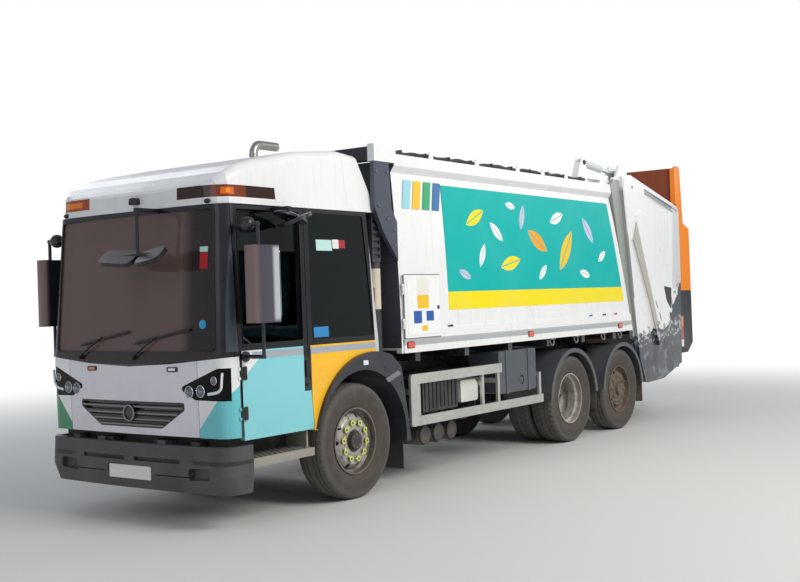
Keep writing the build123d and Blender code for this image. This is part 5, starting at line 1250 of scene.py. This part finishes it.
class TRUCK_OT_side_trim(bpy.types.Operator):
    """Fits side markers, reflective tape, blank signs, the locker's seal and the sill's lashing lugs"""

    bl_idname = "truck.side_trim"
    bl_label = "Side trim"

    def execute(self, context):
        # Orange acrylic lenses in matt rubber housings
        marker = lens("side_marker_lens", "#E8481E")
        black = moulded("side_trim_rubber", "#17181A", roughness=0.5, dust=0.2)
        # Prismatic sheeting: silvery cells, drawn at 6 mm so that they show
        tape = new_material("reflective_tape", "#B9BEC0", 0.35, Metallic=0.2)
        cells = add(tape, "TexVoronoi", Vector=station(tape), Scale=160.0)
        rims = add(tape, "MapRange", cells, 0.3, 0.6, 0.0, 0.35)
        feed(
            tape,
            Base_Color=layered(tape, "#B9BEC0", (rims, "#8E9496")),
            Normal=add(tape, "Bump", Height=cells, Distance=0.0003, Strength=0.5),
        )
        sill = 1.1255
        lamps, housings, strips, lugs = [], [], [], []
        for x in (-0.80, -3.127, -5.460):
            lamps.append(plate(panel(x - 0.058, 1.318, x + 0.058, 1.372, 0.012), sill, 1.140, "y", 0.005))
            housings.append(plate(panel(x - 0.064, 1.312, x + 0.064, 1.378, 0.014), 1.1240, 1.130))
        for x0, x1 in ((-3.052, -0.875), (-5.385, -3.202), (-5.72, -5.535)):
            outline = [(x0, 1.338), (x1, 1.338), (x1, 1.382), (x0, 1.382)]
            strips.append(plate(outline, sill - 0.0005, sill + 0.0007, "y", 0.0004))
        for x in (-3.68, -4.29, -5.03, -5.52):
            near, far = x - 0.045, x + 0.045
            hook = [
                (near, 1.08, 1.275), (near, 1.09, 1.205), (x, 1.092, 1.180), (far, 1.09, 1.205),
                (far, 1.08, 1.275),
            ]
            lugs.append(pipe(hook, 0.009, 0.02, 10))
            lugs.append(box((x - 0.06, 1.05, 1.255), (x + 0.06, 1.11, 1.272), 0.004))
        piece("side_markers", mirrored(lamps), marker)
        piece("side_marker_housings", mirrored(housings), black)
        piece("sill_tape", mirrored(strips), tape)
        # Galvanised steel: pale grey with a dull shine
        lug_steel = steel("lug_steel", "#8C8A86", roughness=0.4, metallic=0.6)
        piece("lashing_lugs", mirrored(lugs), lug_steel)

        x, z = looped(panel(-1.322, 1.408, -0.698, 2.017, 0.014, 4))
        piece("locker_seal", [strung(x, 1.1285, z, ellipse(0, 0, 0.004, 0.005, 8))], black)
        at = (-1.262, 0, 1.695)
        lock = [drum(at, 0.020, 1.138, 1.147, "y", 0.003, 28), drum(at, 0.010, 1.146, 1.150, "y", 0.002, 16)]
        piece("locker_lock", lock, black, "locker_door")
        face = plate(panel(-1.290, 1.440, -0.745, 1.985, 0.02), 1.1395, 1.1425, "y", 0.0015)
        white = painted("locker_face_paint", "#F3F4F4", roughness=0.25, streaks=0.08)
        piece("locker_face", [face], white, "locker_door")
        # Blank vinyl signs in plain colours, each plate as its low corner, width and height
        for name, tone, plates in (
            ("sign_pale", "#E9E7DC", [(-1.100, 1.826, 0.195, 0.158)]),
            ("sign_yellow", "#F4C221", [(-1.100, 1.690, 0.195, 0.130), (-1.067, 1.470, 0.095, 0.055)]),
            ("sign_blue", "#1E57A8", [(-0.975, 1.548, 0.135, 0.120), (-1.180, 1.566, 0.128, 0.098)]),
        ):
            forms = []
            for x, z, wide, tall in plates:
                forms.append(plate(panel(x, z, x + wide, z + tall, 0.012, 4), 1.1420, 1.1432, "y", 0.0004))
            vinyl = painted(name + "_vinyl", tone, roughness=0.4, dust=0.1)
            piece(name, forms, vinyl, "locker_door")
        # Small blank plates above the sill
        z = 1.492
        for index, (x, tone) in enumerate(
            ((-4.66, "#3A6FB0"), (-5.04, "#2E3036"), (-5.37, "#B03048"), (-1.52, "#34363C"))
        ):
            corners = [
                (x - 0.062, z - 0.016), (x + 0.030, z - 0.024),
                (x + 0.062, z + 0.014), (x - 0.030, z + 0.024),
            ]
            tag = plate(rounded(corners, 0.008), 1.1125, 1.1150, "y", 0.0008)
            film = painted("tag_film_" + str(index), tone, dust=0.1)
            piece("sill_tag_" + str(index), mirrored([tag]), film)
        return {"FINISHED"}


class TRUCK_OT_roof_trim(bpy.types.Operator):
    """Lays the cable trunk along the body's rail, with its clips, lugs and bolts"""

    bl_idname = "truck.roof_trim"
    bl_label = "Roof trim"

    def execute(self, context):
        # Corrugated plastic sleeve: matt black, dusty at any height
        black = moulded("cable_trunk_plastic", "#1C1D20", roughness=0.5, dust=0.2, dust_top=4.0)
        x = np.linspace(-4.72, -0.72, 160)
        sag = 0.006 * np.sin(x * 9.0) + 0.004 * np.sin(x * 23.0)
        trunk = strung(x, 1.050, 3.196 + sag, ellipse(0, 0, 0.020, 0.018, 12))
        thin = strung(x, 1.018 + 0.004 * np.sin(x * 5.0), 3.188 + 0.5 * sag, ellipse(0, 0, 0.011, 0.011, 10))
        piece("cable_trunk", mirrored([trunk, thin]), black)
        lugs, clips, bolts = [], [], []
        for at in (-1.31, -2.17, -3.03, -3.61, -4.19):
            outline = [(at - 0.045, 3.171), (at + 0.045, 3.171), (at + 0.020, 3.245), (at - 0.020, 3.245)]
            lugs.append(plate(rounded(outline, 0.016), 1.070, 1.082))
        for at in np.arange(-4.6, -0.8, 0.42):
            clips.append(box((at - 0.012, 1.000, 3.170), (at + 0.012, 1.074, 3.222), 0.004))
        white = painted("lug_paint", pale_white, roughness=0.3, dust=0.1)
        piece("rail_lugs", mirrored(lugs), white)
        piece("trunk_clips", mirrored(clips), black)
        for x, z in (
            (-0.39, 2.66), (-0.52, 2.54), (-0.62, 2.30), (-0.62, 2.44), (-0.36, 2.98), (-0.53, 2.98)
        ):
            bolts.append(drum((x, 0, z), 0.014, 1.102, 1.112, "y", 0.002, 12))
        # Zinc-plated bolts and a blued steel pin: grey metal, the pin the darker and smoother
        bolt_steel = steel("bolt_steel", "#6E7278", roughness=0.4, metallic=0.7)
        piece("header_bolts", mirrored(bolts), bolt_steel)
        pin = drum((-4.78, 0, 3.420), 0.030, 1.026, 1.042, "y", 0.004, 28)
        pin_steel = steel("pin_steel", "#3A3C40", roughness=0.35, metallic=0.8)
        piece("bracket_pins", mirrored([pin]), pin_steel)
        return {"FINISHED"}


class TRUCK_OT_under_trim(bpy.types.Operator):
    """Hangs the flaps and hoses below the body, and fits the steps' treads and the arches' trim"""

    bl_idname = "truck.under_trim"
    bl_label = "Lower trim"

    def execute(self, context):
        # Sheet rubber and rubber hose: matt black, the flaps caked with dust
        rubber = moulded("flap_rubber", "#1F1F20", roughness=0.75, dust=0.8)
        flaps = []
        for x, inner in ((drive_x - 0.598, 0.47), (third_x - 0.606, 0.78)):
            flaps.append(plate(panel(inner, 0.30, 1.10, 0.60, 0.02), x - 0.005, x + 0.005, "x"))
        piece("mud_flaps", mirrored(flaps), rubber)
        runs = []
        for offset, high in ((0.0, 0.0), (0.03, 0.02), (0.06, -0.015)):
            places = ((-0.72, 0.445, 1.02), (-1.6, 0.45, 0.99), (-2.5, 0.445, 1.01), (-3.4, 0.45, 0.985))
            runs.append(pipe([(x, y + offset, z + high) for x, y, z in places], 0.010, 0.2, 8))
        piece("air_hoses", mirrored(runs), moulded("air_hose_rubber", "#141416", roughness=0.5))
        slots = []
        for row, y in enumerate((0.842, 0.890, 0.938, 0.986, 1.034, 1.076)):
            for x in np.arange(0.700 + 0.03 * (row % 2), 1.34, 0.060):
                slots.append(plate(ellipse(x, y, 0.020, 0.0125, 14), 0.5515, 0.5532, "z", 0.0005))
        # Dark plastic that reads as the depth of the step's holes
        piece("step_slots", mirrored(slots), moulded("slot_shadow_plastic", "#1C1B1A", dust=0.2))
        # Cast alloy and rolled steel plate: light grey metal, little worn
        corners = [(-0.600, 1.085), (-0.545, 1.120), (-0.345, 1.058), (-0.395, 1.018)]
        bracket = plate(rounded(corners, 0.012), 1.1450, 1.1530)
        alloy = steel("bracket_alloy", "#8B8C8E", wear=0.2, roughness=0.4, metallic=0.6)
        piece("arch_brackets", mirrored([bracket]), alloy)
        tread = plate(panel(0.66, 0.815, 1.368, 1.100, 0.02), 0.5500, 0.5520, "z", 0.0008)
        rolled = steel("step_tread_plate", "#B0ACA3", wear=0.3, roughness=0.45, metallic=0.5, dust=0.3)
        piece("step_treads", mirrored([tread]), rolled, closed=False)
        # Clear acrylic with fine ribs
        clear = new_material("arch_lamp_lens", "#DDE3E8", 0.08, IOR=1.49, Coat_Weight=0.5)
        ribbed(clear, 30.0, "X", 0.001, 0.4)
        lamp = plate(panel(-0.090, 1.203, -0.020, 1.247, 0.006), 1.145, 1.158, "y", 0.003)
        piece("arch_lamps", mirrored([lamp]), clear)
        bolts = []
        for angle in np.radians((16, 40, 64, 88, 112, 136)):
            at = (-0.09 + 0.705 * cos(angle), 0, 0.515 + 0.705 * sin(angle))
            bolts.append(drum(at, 0.009, 1.1450, 1.1505, "y", 0.002, 10))
        piece("arch_bolts", mirrored(bolts), rubber)
        return {"FINISHED"}


class TRUCK_OT_tail_trim(bpy.types.Operator):
    """Adds the tailgate's hoses, bolts, shield edges, blank labels, and dark sheets painted as the shade in
    its openings
    """

    bl_idname = "truck.tail_trim"
    bl_label = "Tail trim"

    def execute(self, context):
        # Black rubber hose: smooth, with a faint shine
        hose = moulded("hydraulic_hose", "#151618", roughness=0.4, dust=0.2, dust_top=4.0)
        thick = [
            (-5.95, 0.86, 3.34), (-6.05, 0.86, 3.42), (-6.5, 0.85, 3.31), (-7.0, 0.84, 3.19),
            (-7.4, 0.84, 3.10),
        ]
        thin = [
            (-5.95, 0.82, 3.33), (-6.08, 0.82, 3.39), (-6.5, 0.81, 3.28), (-7.0, 0.80, 3.16),
            (-7.4, 0.80, 3.06),
        ]
        runs = [pipe(thick, 0.014, 0.05, 10), pipe(thin, 0.012, 0.05, 10)]
        piece("tailgate_hoses", mirrored(runs), hose, "tailgate")
        metal = steel("tail_bolt_steel", "#77787A", roughness=0.4, metallic=0.7)
        bolt = drum((-5.97, 0, 3.17), 0.017, 1.124, 1.134, "y", 0.003, 14)
        piece("tailgate_bolts", mirrored([bolt]), metal, "tailgate")
        # Orange a touch brighter than the frame's, as a painted highlight on the sunlit edge of the shield
        edge = painted("shield_edge_paint", "#FF8A1A", roughness=0.35, dust=0.1)
        rim = plate([(-7.636, 3.035), (-7.600, 3.035), (-7.600, 3.555), (-7.636, 3.555)], 0.99, 1.063)
        piece("shield_edges", mirrored([rim]), edge, "tailgate")
        for name, tone, near, far in (
            ("tail_label_blue", "#2B4C9B", (-6.518, 1.646), (-6.570, 1.552)),
            ("tail_label_dark", "#3A3D42", (-6.630, 1.480), (-6.682, 1.375)),
        ):
            strip = [near, (near[0] - 0.030, near[1] - 0.012), (far[0] - 0.030, far[1] - 0.012), far]
            film = painted(name + "_film", tone, roughness=0.4, dust=0.2)
            piece(name, mirrored([plate(strip, 1.1698, 1.1712, "y", 0.0003)]), film, "tailgate")
        # Painted shade: black sheets in the openings stand for the dim machinery behind them
        opening = rounded([(-6.929, 1.843), (-7.190, 1.815), (-7.170, 1.505), (-7.010, 1.636)], 0.02)
        opening_shade = plate(opening, 1.1180, 1.1262, "y", 0.001)
        piece("tail_opening_shades", mirrored([opening_shade]), hose, "tailgate")
        return {"FINISHED"}


# The camera, from the plain edges in the photograph: lens for a 36 mm sensor, its right, down and view rows
camera_lens = 50.073
camera_rows = (
    (-0.589557, 0.807074, -0.032482),
    (0.014743, -0.029455, -0.999457),
    (-0.807592, -0.589716, 0.005467),
)
camera_place = (7.8635, 7.3423, 1.8062)


def rays_of(owner, other):
    """One for a ray that comes from the camera or is of the other kind, and else nought."""
    kinds = add(owner, "LightPath").node.outputs
    return add(owner, "Math", kinds["Is Camera Ray"], kinds[other], operation="MAXIMUM")


class TRUCK_OT_stage(bpy.types.Operator):
    """Adds the floor, the lamps, the sky and the camera"""

    bl_idname = "truck.stage"
    bl_label = "Stage"

    def execute(self, context):
        scene = context.scene
        scene.view_settings.view_transform = "Standard"
        pure_white = (1.0, 1.0, 1.0, 1.0)
        # Matt pale floor. Away from the truck the camera sees it turn to the sky's white, so no edge shows.
        pale = new_material("pale_floor", "#D6D6D3", 0.9)
        spot = add(pale, "TexCoord", output="Object")
        away = add(pale, "VectorMath", spot, operation="LENGTH")
        fade_from, fade_to, half = 6.5, 15.0, 60.0
        fade = add(pale, "MapRange", away, fade_from, fade_to, 0.0, 1.0, interpolation_type="SMOOTHSTEP")
        share = add(pale, "Math", fade, rays_of(pale, "Is Glossy Ray"), operation="MULTIPLY")
        white = add(pale, "Emission", Color=pure_white, Strength=1.0)
        nodes = pale.node_tree.nodes
        both = add(pale, "MixShader", share, nodes["Principled BSDF"].outputs["BSDF"], white)
        give(pale, nodes["Material Output"].inputs["Surface"], both)
        mesh = bpy.data.meshes.new("floor")
        corners = [(-half, -half, 0), (half, -half, 0), (half, half, 0), (-half, half, 0)]
        mesh.from_pydata(corners, [], [(0, 1, 2, 3)])
        floor = bpy.data.objects.new("floor", mesh)
        scene.collection.objects.link(floor)
        mesh.materials.append(pale)

        world = bpy.data.worlds.new("pale_sky")
        scene.world = world
        world.use_nodes = True
        nodes = world.node_tree.nodes
        sky = nodes["Background"]
        sky.inputs["Color"].default_value = (0.88, 0.93, 1.0, 1.0)
        sky.inputs["Strength"].default_value = 0.42
        seen = add(world, "Background", Color=pure_white)
        direct = rays_of(world, "Is Transmission Ray")
        mix = add(world, "MixShader", direct, sky.outputs[0], seen)
        give(world, nodes["World Output"].inputs[0], mix)

        # Name, place, aim, width, share of the main lamp's power, colour
        for name, position, aim, width, share, colour in (
            ("main", (-1.0, 11.0, 8.5), (-2.5, 0.0, 1.4), 6.0, 1.0, (1.0, 0.97, 0.92)),
            ("front_fill", (12.0, 0.0, 6.0), (1.5, 0.0, 1.5), 7.0, 0.12, (0.92, 0.90, 1.0)),
            ("rear_fill", (-13.0, 5.0, 7.0), (-5.0, 0.0, 1.5), 7.0, 0.22, (1.0, 1.0, 1.0)),
            ("far_side", (-3.0, -12.0, 8.0), (-2.0, 0.0, 1.5), 8.0, 0.35, (0.92, 0.96, 1.0)),
        ):
            data = bpy.data.lights.new(name, "AREA")
            data.shape = "SQUARE"
            data.size = width
            data.energy = finish().lamp_strength * share
            data.color = colour
            lamp = bpy.data.objects.new(name, data)
            lamp.rotation_mode = "QUATERNION"
            lamp.rotation_quaternion = (Vector(aim) - Vector(position)).to_track_quat("-Z", "Y")
            lamp.location = Vector(position) + Vector((axle_x, 0.0, 0.0))
            scene.collection.objects.link(lamp)

        data = bpy.data.cameras.new("camera")
        data.sensor_width = 36.0
        data.lens = camera_lens
        camera = bpy.data.objects.new("camera", data)
        right, down, view = camera_rows
        turn = Matrix([[right[k], -down[k], -view[k]] for k in range(3)]).to_4x4()
        turn.translation = Vector(camera_place) + Vector((axle_x, 0.0, 0.0))
        camera.matrix_world = turn
        scene.collection.objects.link(camera)
        scene.camera = camera
        return {"FINISHED"}


makers = (
    TRUCK_OT_cab, TRUCK_OT_lamps, TRUCK_OT_front_trim, TRUCK_OT_door_trim, TRUCK_OT_seats,
    TRUCK_OT_body, TRUCK_OT_banner, TRUCK_OT_side_trim, TRUCK_OT_roof_trim, TRUCK_OT_tail,
    TRUCK_OT_tail_trim, TRUCK_OT_chassis, TRUCK_OT_under_trim, TRUCK_OT_tyres, TRUCK_OT_wheel_trim,
    TRUCK_OT_stage,
)


class TRUCK_PT_looks(bpy.types.Panel):
    """Lists the truck's finishes and pieces"""

    bl_idname = "TRUCK_PT_looks"
    bl_label = "Garbage truck"
    bl_space_type = "VIEW_3D"
    bl_region_type = "UI"
    bl_category = "Garbage truck"

    def draw(self, context):
        for name in TruckFinish.__annotations__:
            self.layout.prop(context.scene.truck_finish, name)
        for maker in makers:
            self.layout.operator(maker.bl_idname)


def register():
    for kind in (TruckFinish, *makers, TRUCK_PT_looks):
        bpy.utils.register_class(kind)
    bpy.types.Scene.truck_finish = bpy.props.PointerProperty(type=TruckFinish)


def unregister():
    del bpy.types.Scene.truck_finish
    for kind in reversed((TruckFinish, *makers, TRUCK_PT_looks)):
        bpy.utils.unregister_class(kind)


def main():
    register()
    for maker in makers:
        group, name = maker.bl_idname.split(".")
        getattr(getattr(bpy.ops, group), name)()
    bpy.context.view_layer.update()


if __name__ == "__main__":
    main()
